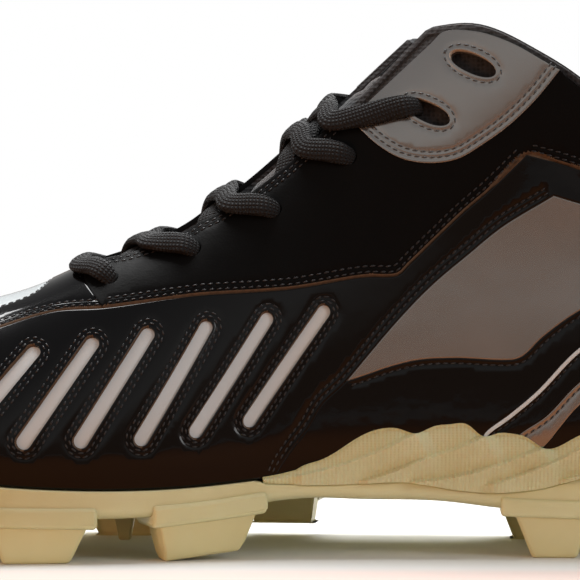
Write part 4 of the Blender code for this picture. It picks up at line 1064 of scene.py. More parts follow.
def leather_piece(name, zone, side, outline, finishes, base, top, holes=(), rows=(), raw=(), skive=SKIVE):
    """Closed sheet of leather on the last, pulled in along its sewn rows, with rounded upper edges.

    outline, holes, rows and raw are flat lines of the piece's zone. base and top are distances off
    the last. Along raw lines the leather is thinned over the width skive and shows its cut face.
    """
    leather, sewing = bpy.context.scene.cleat_leather, bpy.context.scene.cleat_stitches
    step = leather.mesh
    border = resample(outline, step * 0.7, closed=True)
    cuts = [resample(hole, step * 0.45, closed=True) for hole in holes]
    low, high = border.min(axis=0), border.max(axis=0)
    grid_x, grid_y = np.meshgrid(np.arange(low[0], high[0], step), np.arange(low[1], high[1], step * 0.87))
    grid_x[1::2] += step / 2
    spots = np.column_stack([grid_x.ravel(), grid_y.ravel()])
    spots = spots[inside(spots, border)]
    for cut in cuts:
        spots = spots[~inside(spots, cut)]
    edges = [close(border), *map(close, cuts)]
    spots = spots[reach(spots, edges) > step * 0.45]
    if rows:
        spots = spots[reach(spots, rows) > 1.0 * MM]
    if raw:
        spots = spots[reach(spots, raw) > skive * 1.4]
    beside = np.vstack(
        [resample(side_line(row, off), step * 0.6) for row in rows for off in (-0.6 * MM, 0, 0.6 * MM)]
        + [resample(side_line(line, off * skive), step * 0.4) for line in raw for off in (-1, -0.5, 0.5, 1)]
        + [resample(side_line(edge, off), step * 0.5) for edge in edges for off in (-0.45 * MM, 0.45 * MM)]
    )
    beside = beside[inside(beside, border)]
    for cut in cuts:
        beside = beside[~inside(beside, cut)]
    spots = np.vstack([spots, beside[reach(beside, edges) > 0.3 * MM]])
    loops, start = [], 0
    for loop in (border, *cuts):
        loops += [(start + k, start + (k + 1) % len(loop)) for k in range(len(loop))]
        start += len(loop)
    flat = np.vstack([border, *cuts, spots]) / MM
    made, _, faces, *_ = delaunay_2d_cdt([Vector(point) for point in flat], loops, [], 0, 1e-4, False)
    flat = np.array([tuple(point) for point in made]) * MM
    faces = np.array([face for face in faces if len(face) == 3])
    middle = flat[faces].mean(axis=1)
    kept = inside(middle, border)
    for cut in cuts:
        kept &= ~inside(middle, cut)
    faces = faces[kept]
    sunk = sewing.sink * np.exp(-((reach(flat, rows) / (0.45 * MM)) ** 2)) if rows else 0.0
    if raw:
        thinned = np.clip(1 - reach(flat, raw) / skive, 0, 1)
        sunk = sunk + thinned**1.5 * (top - base) * 0.6
    upper, outs = lift(zone, side, flat, top - sunk)
    lower, _ = lift(zone, side, flat, base)
    a, b, c = (upper[faces[:, k]] for k in range(3))
    if (np.cross(b - a, c - a) * outs[faces[:, 0]]).sum() < 0:
        faces = faces[:, ::-1]
    count = len(flat)
    used = dict.fromkeys((face[k], face[(k + 1) % 3]) for face in faces for k in range(3))
    rim = [edge for edge in used if edge[::-1] not in used]
    if zone == "toe":
        end = RUN[-1] - 1e-6
        rim = [edge for edge in rim if not (flat[edge[0], 0] > end and flat[edge[1], 0] > end)]
    walls = [(j, i, i + count, j + count) for i, j in rim]
    everything = [*faces, *(faces[:, ::-1] + count), *walls]
    # while the edges are rounded, the walls' faces have numbers of their own: 2 cut face, 3 finished
    cut_face, sides = np.zeros(len(faces), int), np.full(len(walls), 2)
    if raw:
        cut_face = (reach(flat[faces].mean(axis=1), raw) < skive * 0.8).astype(int)
        sides = np.where(reach(flat[np.array(rim)].mean(axis=1), raw) < 0.3 * MM, 2, 3)
    picks = np.concatenate([cut_face, np.full(len(faces), 4), sides])
    thing = new_piece(name, np.vstack([upper, lower]), everything, finishes, picks)
    work = bmesh.new()
    work.from_mesh(thing.data)
    bmesh.ops.remove_doubles(work, verts=work.verts, dist=1e-6)
    sharp = [
        edge
        for edge in work.edges
        if len(edge.link_faces) == 2
        and min(face.material_index for face in edge.link_faces) < 2
        and max(face.material_index for face in edge.link_faces) in (2, 3)
    ]
    bmesh.ops.bevel(
        work, geom=sharp, offset=leather.bevel, segments=2, profile=0.5, affect="EDGES",
        clamp_overlap=True, material=-1,
    )
    for face in work.faces:
        face.material_index = (0, 1, 1, 0, 1)[face.material_index]
    stray = [vertex for vertex in work.verts if not vertex.link_faces]
    bmesh.ops.delete(work, geom=stray, context="VERTS")
    work.to_mesh(thing.data)
    work.free()
    thing.data.shade_smooth()
    thing.data.set_sharp_from_angle(angle=SHARP)
    return thing


def sew(group, zone, side, rows, height):
    """Keeps rows of stitches for the group's thread."""
    for row in rows:
        if len(row) > 3:
            SEAMS.append((group, zone, side, row, height - bpy.context.scene.cleat_stitches.sink))


def tube(middles, outs, widths, thicknesses, sides=14, power=2.4):
    """Closed flat tube: points, faces and a chart of its length and girth."""
    middles, outs = np.asarray(middles), np.asarray(outs)
    ahead = unit(np.gradient(middles, axis=0))
    outs = unit(outs - ahead * (outs * ahead).sum(axis=1, keepdims=True))
    across = np.cross(ahead, outs)
    turn = 2 * math.pi * np.arange(sides) / sides
    wide = np.sign(np.cos(turn)) * np.abs(np.cos(turn)) ** (2 / power) / 2
    thick = np.sign(np.sin(turn)) * np.abs(np.sin(turn)) ** (2 / power) / 2
    rings = (
        middles[:, None]
        + across[:, None] * (wide[None, :] * np.asarray(widths)[:, None])[..., None]
        + outs[:, None] * (thick[None, :] * np.asarray(thicknesses)[:, None])[..., None]
    )
    count = len(middles)
    run = travelled(middles)
    chart = np.stack(np.broadcast_arrays(run[:, None], (wide * np.max(widths))[None, :]), -1).reshape(-1, 2)
    faces = [
        (i * sides + k, i * sides + (k + 1) % sides, (i + 1) * sides + (k + 1) % sides, (i + 1) * sides + k)
        for i in range(count - 1)
        for k in range(sides)
    ]
    faces.append(tuple(range(sides))[::-1])
    faces.append(tuple((count - 1) * sides + k for k in range(sides)))
    return rings.reshape(-1, 3), faces, chart


def curve_through(stops, step=0.7 * MM):
    """Smooth line through rows whose first two or three numbers are a place; the rest goes along."""
    stops = np.asarray(stops, float)
    ends = np.vstack([2 * stops[0] - stops[1], stops, 2 * stops[-1] - stops[-2]])
    made = []
    for i in range(1, len(ends) - 2):
        p0, p1, p2, p3 = ends[i - 1 : i + 3]
        t1 = max(np.linalg.norm((p1 - p0)[:3]), 1e-9) ** 0.5
        t2 = t1 + max(np.linalg.norm((p2 - p1)[:3]), 1e-9) ** 0.5
        t3 = t2 + max(np.linalg.norm((p3 - p2)[:3]), 1e-9) ** 0.5
        t = np.linspace(t1, t2, max(int(np.linalg.norm((p2 - p1)[:3]) / step), 1) + 1)[:-1, None]
        a1 = (t1 - t) / t1 * p0 + t / t1 * p1
        a2 = (t2 - t) / (t2 - t1) * p1 + (t - t1) / (t2 - t1) * p2
        a3 = (t3 - t) / (t3 - t2) * p2 + (t - t2) / (t3 - t2) * p3
        b1 = (t2 - t) / t2 * a1 + t / t2 * a2
        b2 = (t3 - t) / (t3 - t1) * a2 + (t - t1) / (t3 - t1) * a3
        made.append((t2 - t) / (t2 - t1) * b1 + (t - t1) / (t2 - t1) * b2)
    return np.vstack([*made, stops[-1:]])


def stacked(parts):
    """Points and faces of several bodies as one."""
    points, faces, start = [], [], 0
    for body_points, body_faces, *_ in parts:
        points.append(np.asarray(body_points))
        faces += [tuple(index + start for index in face) for face in body_faces]
        start += len(body_points)
    return np.vstack(points), faces


def joined(name, parts, finish_name):
    """One piece of several closed tubes."""
    points, faces = stacked(parts)
    chart = np.vstack([part[2] for part in parts])
    return tidy(new_piece(name, points, faces, [finish_name], chart=chart), weld=1e-7)


# Upper, lining, tongue


def eyelet_place(row, side):
    """Flat place of an eyelet in the side zone."""
    along = np.array([row[0]])
    return flat_points("side", side, way_at(along), up_at(along, level(row[1])))[0]


def eyelet_outline(row, side, grow=0.0):
    if row[2] < EYELET_WIDTH + TINY:
        return stadium(eyelet_place(row, side), 0.0, row[2] + 2 * grow, row[2] + 2 * grow, 12)
    turn = np.linspace(0, 2 * math.pi, 45)[:-1]
    x = (row[2] / 2 + grow) * np.sign(np.cos(turn)) * np.abs(np.cos(turn)) ** 0.9
    y = (EYELET_OVAL / 2 + grow) * np.sin(turn)
    return np.column_stack([x, y]) @ turned(EYELET_TILT) + eyelet_place(row, side)


def eyelet_cutter(row, side, depth=0.006):
    outline = eyelet_outline(row, side)
    low, _ = lift("side", side, outline, -depth)
    high, _ = lift("side", side, outline, depth)
    count = len(outline)
    faces = [(k, (k + 1) % count, count + (k + 1) % count, count + k) for k in range(count)]
    faces += [tuple(range(count))[::-1], tuple(range(count, 2 * count))]
    return tidy(new_piece("cutter", np.vstack([low, high]), faces, ["black_mesh"]))


def shell_ways():
    """Ways of the shell's columns, closer at the round front of the throat."""
    front = way_at(THROAT_FRONT - THROAT_ROUND * (1 - np.cos(np.linspace(0, math.pi / 2, 14))))
    even = np.linspace(0, 1, SHELL_COLUMNS)
    kept = [way for way in even if way < front.min() - 0.002 or way > front.max() + 0.002]
    return np.sort(np.concatenate([kept, front]))


def make_upper_shell():
    """Wall of the upper: fabric backing open at the collar, the throat and underneath."""
    ways = shell_ways()
    size = SHELL_ROWS + 1
    points, columns = [], [(way, MEDIAL) for way in ways] + [(way, LATERAL) for way in ways[-2:0:-1]]
    for way, side in columns:
        top = edge_up(float(along_at(way)), side)
        at = np.full(size, way)
        total = girth_of(at[:1], np.array([top]), side)[0]
        up = up_of(at, np.linspace(0, total, size), side)
        up[-1] = top
        points.append(skin(at, up, side, -SHELL_GAP))
    faces = []
    for i in range(len(columns)):
        a, b = i * size, (i + 1) % len(columns) * size
        faces += [(a + j, a + j + 1, b + j + 1, b + j) for j in range(SHELL_ROWS)]
    shell = tidy(new_piece("upper_shell", np.vstack(points), faces, ["black_mesh"]), outwards=False)
    wall = shell.modifiers.new("wall", "SOLIDIFY")
    wall.thickness = WALL - SHELL_GAP
    wall.offset = -1
    wall.use_even_offset = True
    wall.use_quality_normals = True
    cutters = [eyelet_cutter(row, side) for side in SIDES for row in EYELETS]
    for cutter in cutters:
        cut = shell.modifiers.new("eyelet", "BOOLEAN")
        cut.operation = "DIFFERENCE"
        cut.solver = "EXACT"
        cut.object = cutter
    plain(shell)
    for cutter in cutters:
        bpy.data.objects.remove(cutter)
    shell.data.shade_smooth()
    shell.data.set_sharp_from_angle(angle=SHARP)
    settle(shell, "black_mesh", "upper")


def make_collar_pad():
    """Padded collar lining that rolls over the upper's rim."""
    end = float(way_at(PAD_FRONT))
    ways = np.linspace(0, end, 100)
    columns = [(way, MEDIAL) for way in ways[::-1]] + [(way, LATERAL) for way in ways[1:]]
    section = np.array(PAD_SECTION + PAD_SECTION[:1]) * MM
    section = curve_through(np.column_stack([section, np.zeros(len(section))]), 1.4 * MM)[:-1, :2]
    points = []
    for way, side in columns:
        along = float(along_at(way))
        full = 1 - (1 - PAD_THIN) * np.clip((along - PAD_FULL) / (PAD_FRONT - PAD_FULL - 0.03), 0, 1) ** 0.8
        fade = np.clip((PAD_FRONT - along) / 0.02, 0.15, 1)
        down, off = section[:, 0], section[:, 1]
        off = np.where(off < -1.4 * MM, -1.4 * MM + (off + 1.4 * MM) * full * fade, off)
        at = np.full(len(section), way)
        edge = girth_of(at[:1], np.array([edge_up(along, side)]), side)[0]
        up = up_of(at, edge - down, side)
        points.append(skin(at, up, side, off))
    size = len(section)
    faces = [
        (i * size + k, (i + 1) * size + k, (i + 1) * size + (k + 1) % size, i * size + (k + 1) % size)
        for i in range(len(columns) - 1)
        for k in range(size)
    ]
    faces += [tuple(range(size)), tuple((len(columns) - 1) * size + k for k in range(size))[::-1]]
    pad = tidy(new_piece("collar_pad", np.vstack(points), faces, ["black_mesh"]))
    settle(pad, "black_mesh")


def throat_row(along, widths, off):
    """Points and outward directions at signed widths from the top line."""
    widths = np.asarray(widths, float)
    off = np.broadcast_to(np.asarray(off, float), len(widths))
    points, outs = np.zeros((len(widths), 3)), np.zeros((len(widths), 3))
    for side in SIDES:
        mask = widths < 0 if side == MEDIAL else widths >= 0
        if mask.any():
            up = up_for_width(along, np.abs(widths[mask]), side)
            outs[mask] = outward(way_at(along), up, side)
            points[mask] = last_point(way_at(along), up, side) + outs[mask] * off[mask, None]
    return points, outs


def throat_place(along, width, off):
    points, outs = throat_row(along, [width], off)
    return points[0], outs[0]


def make_tongue():
    """Padded tongue with sewn channels, crowned in the middle and thin at its border."""
    alongs = np.linspace(TONGUE_FRONT, TONGUE_BACK, 90)
    shares = np.sin(np.linspace(-math.pi / 2, math.pi / 2, 37))
    top, bottom = [], []
    for along in alongs:
        end = min((TONGUE_FRONT - along), (along - TONGUE_BACK)) * LENGTH / TONGUE_END
        end_full = math.sqrt(max(1 - (1 - min(end, 1)) ** 2, 0.02))
        width = shares * TONGUE_HALF * (0.80 + 0.20 * end_full)
        pulled = sum(math.exp(-(((along - c) / CHANNEL_WIDTH) ** 2)) for c in TONGUE_CHANNELS)
        full = np.sqrt(np.maximum(1 - np.abs(shares) ** 5, 0)) * end_full
        full = full * (1 - CHANNEL_DEPTH * min(pulled, 1) * (1 - np.abs(shares) ** 3))
        thick = TONGUE_BORDER + (TONGUE_THICK - TONGUE_BORDER) * full
        middle = -(WALL + TONGUE_DROP + TONGUE_MIDDLE)
        face, outs = throat_row(along, width, 0.0)
        top += list(face + outs * (middle + thick / 2 + TONGUE_CROWN * full * (1 - shares**2))[:, None])
        bottom += list(face + outs * (middle - thick / 2)[:, None])
    size = len(shares)
    count = len(top)
    faces = []
    for i in range(len(alongs) - 1):
        for j in range(size - 1):
            a = i * size + j
            faces.append((a, a + size, a + size + 1, a + 1))
            faces.append((count + a, count + a + 1, count + a + size + 1, count + a + size))
        for j in (0, size - 1):
            a = i * size + j
            faces.append((a, a + size, count + a + size, count + a))
    for i in (0, len(alongs) - 1):
        for j in range(size - 1):
            a = i * size + j
            faces.append((a, a + 1, count + a + 1, count + a))
    tongue = tidy(new_piece("tongue_pad", np.array(top + bottom), faces, ["black_mesh"]))
    settle(tongue, "black_mesh", "tongue")


# Leather pieces


def layer(name):
    return tuple(value * MM for value in LAYERS[name])


def path(*lines):
    """Closed outline of lines set end to end, without doubled points."""
    line = np.vstack(lines)
    gap = np.linalg.norm(line - np.roll(line, 1, axis=0), axis=1)
    return line[gap > 1e-6]


def edge_line(side, front, rear, margin):
    """The upper's edge between two shares along, front to rear, in the side zone."""
    way = np.linspace(way_at(front), way_at(rear), 60)
    up = np.interp(way, GRID_WAYS, EDGE[side])
    return flat_points("side", side, way, up, margin)


def double(line, sign, sewing, trim=1.6 * MM):
    """Two rows of stitches beside an edge."""
    return [side_line(line, sign * (sewing.inset + k * sewing.rows), trim) for k in range(2)]


def slot_places(side):
    """Middle, tilt and length between the end points of each slot, in the side zone."""
    places = []
    for top_along, top_level, foot_along, foot_level in SLOTS:
        along, height = np.array([top_along, foot_along]), level([top_level, foot_level])
        ends = flat_points("side", side, way_at(along), up_at(along, height))
        rise = ends[0] - ends[1]
        places.append((ends.mean(axis=0), math.atan2(rise[1], rise[0]), np.linalg.norm(rise)))
    return places


def make_side_leather(side):
    """Leather pieces of one side, with their stitch rows."""
    name = "medial" if side < 0 else "lateral"
    sewing = bpy.context.scene.cleat_stitches

    def seam(rows, margin=0.0):
        return flat_line("side", side, rows, margin=margin)

    def panel(kind, outline, finishes, holes=(), rows=(), raw=(), skive=SKIVE, group=name):
        base, top = layer(kind)
        thing = leather_piece(
            f"{kind}_{name}_leather", "side", side, outline, finishes, base, top, holes, rows, raw, skive
        )
        settle(thing, finishes[0], f"{kind}_{name}")
        sew(group, "side", side, rows, top)

    slots = slot_places(side)
    tips = [
        np.array([math.cos(tilt), math.sin(tilt)]) * (size / 2 + BACKING_REACH) for _, tilt, size in slots
    ]
    tops = np.array([slot[0] + tip for slot, tip in zip(slots, tips)])
    feet = np.array([slot[0] - tip for slot, tip in zip(slots, tips)])
    beyond = np.array([BACKING_REACH, 0])
    backing = np.vstack(
        [tops[0] + beyond, tops, tops[-1] - beyond, feet[-1] - beyond, feet[::-1], feet[0] + beyond]
    )
    white = ["white_patent", "white_patent"]
    backing = leather_piece(f"slot_backing_{name}", "side", side, backing, white, *layer("underlay"))
    settle(backing, "white_patent")

    rear_edge = seam(QUARTER_FRONT + PANEL_REAR)
    toe_edge = seam(TOE_SEAM[:4])
    strap_foot = seam(EYESTAY_FOOT[13:])
    quarter_top = seam(QUARTER_TOP[::-1] + QUARTER_FRONT[:1])
    holes = [stadium(spot, tilt, size + SLOT_WIDTH, SLOT_WIDTH, 12) for spot, tilt, size in slots]
    rings = [
        close(stadium(spot, tilt, size + SLOT_WIDTH + 2 * off, SLOT_WIDTH + 2 * off, 16))
        for spot, tilt, size in slots
        for off in (SLOT_STITCH, SLOT_STITCH + SLOT_ROWS)
    ]
    outline = path(
        seam(EYESTAY_FOOT[:14]), strap_foot, quarter_top, rear_edge, seam([TOE_SEAM[0]]), toe_edge
    )
    rows = double(rear_edge, 1, sewing) + double(toe_edge, 1, sewing) + rings
    fronts = [toe_half(hole) for hole in holes]
    panel("side_panel", outline, ["black_patent", "cut_edge"], holes, rows, fronts, SKIVE / 2)

    throat = edge_line(side, 0.684, 0.440, EDGE_CLEAR)
    stay_foot = seam(EYESTAY_FOOT[4:14])
    cap_foot = seam(CAP_FOOT, CAP_CLEAR)
    strap_top = seam(STRAP_TOP[::-1], EDGE_CLEAR)
    cap_line = seam(CAP_FOOT[::-1], CAP_CLEAR)
    outline = path(stay_foot, strap_foot, strap_top, cap_line, throat[::-1], seam(EYESTAY_FRONT)[::-1])
    rows = double(stay_foot, -1, sewing) + double(strap_foot, -1, sewing) + double(throat, 1, sewing)
    punched = [eyelet_outline(row, side) for row in EYELETS[:4]]
    panel("eyestay", outline, ["matte_leather", "cut_edge"], punched, rows, [seam(EYESTAY_FOOT[4:16])])

    outline = path(cap_foot, seam(CAP_TOP, CAP_CLEAR))
    rows = double(cap_foot, -1, sewing, 0.5 * MM)
    rows += [close(eyelet_outline(row, side, 1.5 * MM)) for row in EYELETS[4:]]
    holes = [eyelet_outline(row, side) for row in EYELETS[4:]]
    panel("eyelet_cap", outline, ["silver_patent", "pale_edge"], holes, rows, group=f"cap_{name}")

    outline = path(quarter_top, seam(QUARTER_FRONT), seam(QUARTER_FOOT))
    panel("quarter", outline, ["silver_patent", "pale_edge"])

    quarter_foot = seam([QUARTER_FRONT[-1]] + QUARTER_FOOT)
    outline = path(quarter_foot, seam(BAND_TOP[::-1]), seam([(0.312, BELOW)]), seam(PANEL_REAR[::-1]))
    piping = seam(PIPING)
    rows = [side_line(quarter_foot, sewing.inset, 2 * MM), side_line(piping, 1.3 * MM)]
    panel("rear_panel", outline, ["black_patent", "black_patent"], rows=rows)

    cord, outs = lift("side", side, side_line(piping, 0.0), layer("rear_panel")[1] + 0.15 * MM)
    cord = tube(cord, outs, np.full(len(cord), PIPING_WIDTH), np.full(len(cord), PIPING_THICK), 10)
    settle(joined(f"piping_{name}", [cord], "white_patent"), "white_patent")


def toe_half(hole):
    """The half of a slot's outline that lies toward the toe and the ground."""
    middle = hole.mean(axis=0)
    size = len(hole)
    from_top = np.roll(hole, -int(np.argmax(hole[:, 1] - hole[:, 0] * 0.2)), axis=0)
    halves = from_top[: size // 2 + 1], from_top[size // 2 :]
    return max(halves, key=lambda half: (half[:, 0] - middle[0]).mean())


def both_sides(zone, rows, margin=0.0):
    """A seam of the medial side and its mirror image of the lateral side, end to end."""
    there = to_zone(zone, MEDIAL, flat_line("side", MEDIAL, rows, margin=margin))
    back = to_zone(zone, LATERAL, flat_line("side", LATERAL, rows, margin=margin))
    return np.vstack([there, back[::-1]])


def foot_run(side, start, end):
    """The last's lower edge between two shares along, in the toe zone."""
    way = np.linspace(way_at(start), way_at(end), 120)
    return flat_points("toe", side, way, np.zeros(len(way)))


def wrapped(name, zone, outline, finishes, rows):
    """A piece round the toe or the heel. rows gives the stitch rows of one side."""
    base, top = layer(name)
    sunk = []
    for side in SIDES:
        lines = rows(side)
        sunk += [to_zone(zone, side, line) for line in lines if len(line) > 3]
        sew("ends", "side", side, lines, top)
    lines = RAW_ENDS.get(name)
    raw = [to_zone(zone, side, flat_line("side", side, lines)) for side in SIDES] if lines else []
    thing = leather_piece(f"{name}_leather", zone, None, outline, finishes, base, top, (), sunk, raw)
    settle(thing, finishes[0], name)


def make_toe_and_heel_leather():
    """Toe cap, vamp, throat strip, heel band, heel counter and back strap."""
    sewing = bpy.context.scene.cleat_stitches

    def seam(side, rows):
        return flat_line("side", side, rows)

    def in_zone(zone, side, rows):
        return to_zone(zone, side, seam(side, rows))

    def throat_front(side):
        """The throat strip's front edges: beside the eyestay, then round the throat."""
        round_line = edge_line(side, EYESTAY_FRONT[-1][0], THROAT_FRONT - TINY, EDGE_CLEAR)
        return [in_zone("toe", side, EYESTAY_FRONT), to_zone("toe", side, round_line)]

    outline = path(
        both_sides("toe", TOE_SEAM),
        foot_run(LATERAL, TOE_SEAM[0][0], 1 - END_SHARE),
        foot_run(MEDIAL, TOE_SEAM[0][0], 1 - END_SHARE)[::-1],
    )
    black, silver = ["black_patent", "cut_edge"], ["silver_patent", "pale_edge"]
    wrapped("toe_cap", "toe", outline, black, lambda side: double(seam(side, TOE_SEAM), -1, sewing))

    outline = path(both_sides("toe", VAMP_EDGE), both_sides("toe", TOE_SEAM[4:])[::-1])
    wrapped(
        "vamp", "toe", outline, ["white_patent", "pale_edge"],
        lambda side: [side_line(seam(side, VAMP_EDGE), -1.2 * MM, 1.5 * MM)],
    )

    foot = EYESTAY_FOOT[:5]
    outline = path(
        in_zone("toe", MEDIAL, foot),
        *throat_front(MEDIAL),
        *(line[::-1] for line in throat_front(LATERAL)[::-1]),
        in_zone("toe", LATERAL, foot)[::-1],
        both_sides("toe", VAMP_EDGE)[::-1],
    )
    wrapped("throat_strip", "toe", outline, black, lambda side: double(seam(side, foot), -1, sewing))

    outline = path(both_sides("heel", BAND_TOP), both_sides("heel", BAND_FOOT)[::-1])
    wrapped(
        "heel_band", "heel", outline, silver,
        lambda side: [side_line(seam(side, BAND_TOP), 1.2 * MM, 2 * MM)],
    )

    below = [(BAND_FOOT[0][0], BELOW)]
    outline = path(
        both_sides("heel", BAND_FOOT), in_zone("heel", LATERAL, below), in_zone("heel", MEDIAL, below)
    )
    wrapped("heel_counter", "heel", outline, ["black_patent", "black_patent"], lambda side: [])

    outline = path(in_zone("heel", MEDIAL, STRAP_SIDE), in_zone("heel", LATERAL, STRAP_SIDE)[::-1])
    wrapped(
        "back_strap", "heel", outline, black,
        lambda side: [side_line(seam(side, STRAP_SIDE), sewing.inset, 1 * MM)],
    )


# Lace


def entry(row, side, width, thick, edge):
    """Stops of a lace that comes over the throat's edge at a place and goes into an eyelet."""
    flat = eyelet_place(row, side)
    slotted = row[2] > EYELET_WIDTH + TINY
    if slotted:
        flat = flat + np.array([math.cos(EYELET_TILT), math.sin(EYELET_TILT)]) * (row[2] / 2 - 3.4 * MM)
    points, outs = lift("side", side, [flat], 0.0)
    point, out = points[0], outs[0]
    ahead = point - edge
    ahead = unit(ahead - out * (ahead @ out))
    rise = LACE_OVER + (0.5 * MM if slotted else 0.0)
    return [
        (*(point - ahead * 6.0 * MM + out * (rise + thick * 0.52)), *out, width, thick),
        (*(point - ahead * 2.4 * MM + out * (rise + thick * 0.50)), *out, width * 0.94, thick),
        (*(point - ahead * 0.2 * MM + out * (rise - 0.2 * MM)), *unit(out + ahead), width * 0.78, thick),
        (*(point + ahead * 0.7 * MM + out * 0.1 * MM), *ahead, 4.5 * MM, thick * 0.9),
        (*(point + ahead * 0.4 * MM - out * 2.0 * MM), *ahead, 4.4 * MM, 2.0 * MM),
        (*(point - ahead * 3.0 * MM - out * 3.15 * MM), *-out, width * 0.8, 1.4 * MM),
        (*(point - ahead * 6.5 * MM - out * 3.15 * MM), *-out, width * 0.8, 1.4 * MM),
    ]


def strand(stops):
    line = curve_through(stops)
    return tube(line[:, :3], line[:, 3:6], line[:, 6], line[:, 7])


def make_lace():
    """One lace: a bar over the front eyelets, then crossings up to the lower slots of the caps."""
    setting = bpy.context.scene.cleat_lace
    width, thick = setting.width, setting.thickness
    half = THROAT_WIDTH / 2
    over_edge = LACE_OVER + thick / 2 + 0.1 * MM

    def over(along, across, off, scale=1.0, thin=1.0):
        point, out = throat_place(along, across, off)
        return (*point, *out, width * scale, thick * thin)

    parts = []
    first = EYELETS[0][0] + BAR_AHEAD
    ends = {side: over(first, side * half * 0.95, over_edge) for side in SIDES}
    bar = entry(EYELETS[0], MEDIAL, width, thick, np.array(ends[MEDIAL][:3]))[::-1] + [ends[MEDIAL]]
    bar += [over(first + 0.002, x * half, over_edge - 0.6 * MM) for x in (-0.35, 0.35)]
    bar += [ends[LATERAL]] + entry(EYELETS[0], LATERAL, width, thick, np.array(ends[LATERAL][:3]))
    parts.append(strand(bar))
    for before, here in zip(EYELETS[:4], EYELETS[1:5]):
        for side in SIDES:
            slotted = here[2] > EYELET_WIDTH + TINY
            start = before[0] - 0.004
            end = here[0] + (CAP_AHEAD if slotted else EDGE_AHEAD)
            lifted = (1.4 if slotted else 2.9) * MM if side == MEDIAL else 0.0
            start = end + 0.035 if slotted else start
            last_stop = over(end, side * half * 1.03, over_edge)
            stops = [
                over(start, -side * half * 1.35, -3.15 * MM, 0.9, 0.5),
                over(start, -side * half * 1.05, -3.0 * MM, 0.9, 0.6),
                over(mix(start, end, 0.18), -side * half * 0.62, -1.9 * MM + lifted * 0.2, 1.0, 0.9),
                over(mix(start, end, 0.5), 0.0, -1.5 * MM + lifted),
                over(mix(start, end, 0.85), side * half * 0.66, 0.4 * MM + lifted * 0.5),
                last_stop,
            ]
            parts.append(strand(stops + entry(here, side, width, thick, np.array(last_stop[:3]))))
    lace = joined("lace", parts, "lace_cloth")
    settle(lace, "lace_cloth", "lace_bar", *[f"lace_cross_{k}" for k in range(2, 6)])


# Stitches


def stitch_tree():
    """Node tree that sets stitches along seams. Each seam point holds its outward direction in "out"."""
    tree = bpy.data.node_groups.new("seam_stitches", "GeometryNodeTree")
    tree.interface.new_socket("Geometry", in_out="INPUT", socket_type="NodeSocketGeometry")
    for name in ("Pitch", "Length", "Width"):
        tree.interface.new_socket(name, in_out="INPUT", socket_type="NodeSocketFloat")
    tree.interface.new_socket("Thread", in_out="INPUT", socket_type="NodeSocketMaterial")
    tree.interface.new_socket("Geometry", in_out="OUTPUT", socket_type="NodeSocketGeometry")
    given = add(tree, "NodeGroupInput").outputs
    out = add(tree, "GeometryNodeInputNamedAttribute", {"Name": "out"}, data_type="FLOAT_VECTOR")
    line = add(tree, "GeometryNodeMeshToCurve", {"Mesh": given["Geometry"]})
    held = add(tree, "GeometryNodeCaptureAttribute", {"Geometry": line.outputs["Curve"]})
    held.capture_items.new("VECTOR", "out")
    tree.links.new(out.outputs["Attribute"], held.inputs[1])
    pitch = {"Curve": held.outputs["Geometry"], "Length": given["Pitch"]}
    spaced = add(tree, "GeometryNodeResampleCurve", pitch, mode="LENGTH")
    tangent = add(tree, "GeometryNodeInputTangent")
    along = {"Vector": tangent.outputs["Tangent"]}
    ahead = add(tree, "FunctionNodeAlignRotationToVector", along, axis="X")
    up = {"Rotation": ahead.outputs["Rotation"], "Vector": held.outputs[1]}
    upright = add(tree, "FunctionNodeAlignRotationToVector", up, axis="Z", pivot_axis="X")
    bead = add(tree, "GeometryNodeMeshUVSphere", {"Segments": 6, "Rings": 4, "Radius": 0.5})
    sizes = {"X": given["Length"], "Y": given["Width"], "Z": given["Width"]}
    size = add(tree, "ShaderNodeCombineXYZ", sizes).outputs["Vector"]
    stitch = {"Geometry": bead.outputs["Mesh"], "Scale": size, "Rotation": (0, 0, STITCH_TILT)}
    shaped = add(tree, "GeometryNodeTransform", stitch)
    each = {"Points": spaced.outputs["Curve"], "Instance": shaped.outputs["Geometry"]}
    each["Rotation"] = upright.outputs["Rotation"]
    placed = add(tree, "GeometryNodeInstanceOnPoints", each)
    real = add(tree, "GeometryNodeRealizeInstances", {"Geometry": placed.outputs["Instances"]})
    soft = add(tree, "GeometryNodeSetShadeSmooth", {"Geometry": real.outputs["Geometry"]})
    thread = {"Geometry": soft.outputs["Geometry"], "Material": given["Thread"]}
    painted = add(tree, "GeometryNodeSetMaterial", thread)
    add(tree, "NodeGroupOutput", {"Geometry": painted.outputs["Geometry"]})
    return tree


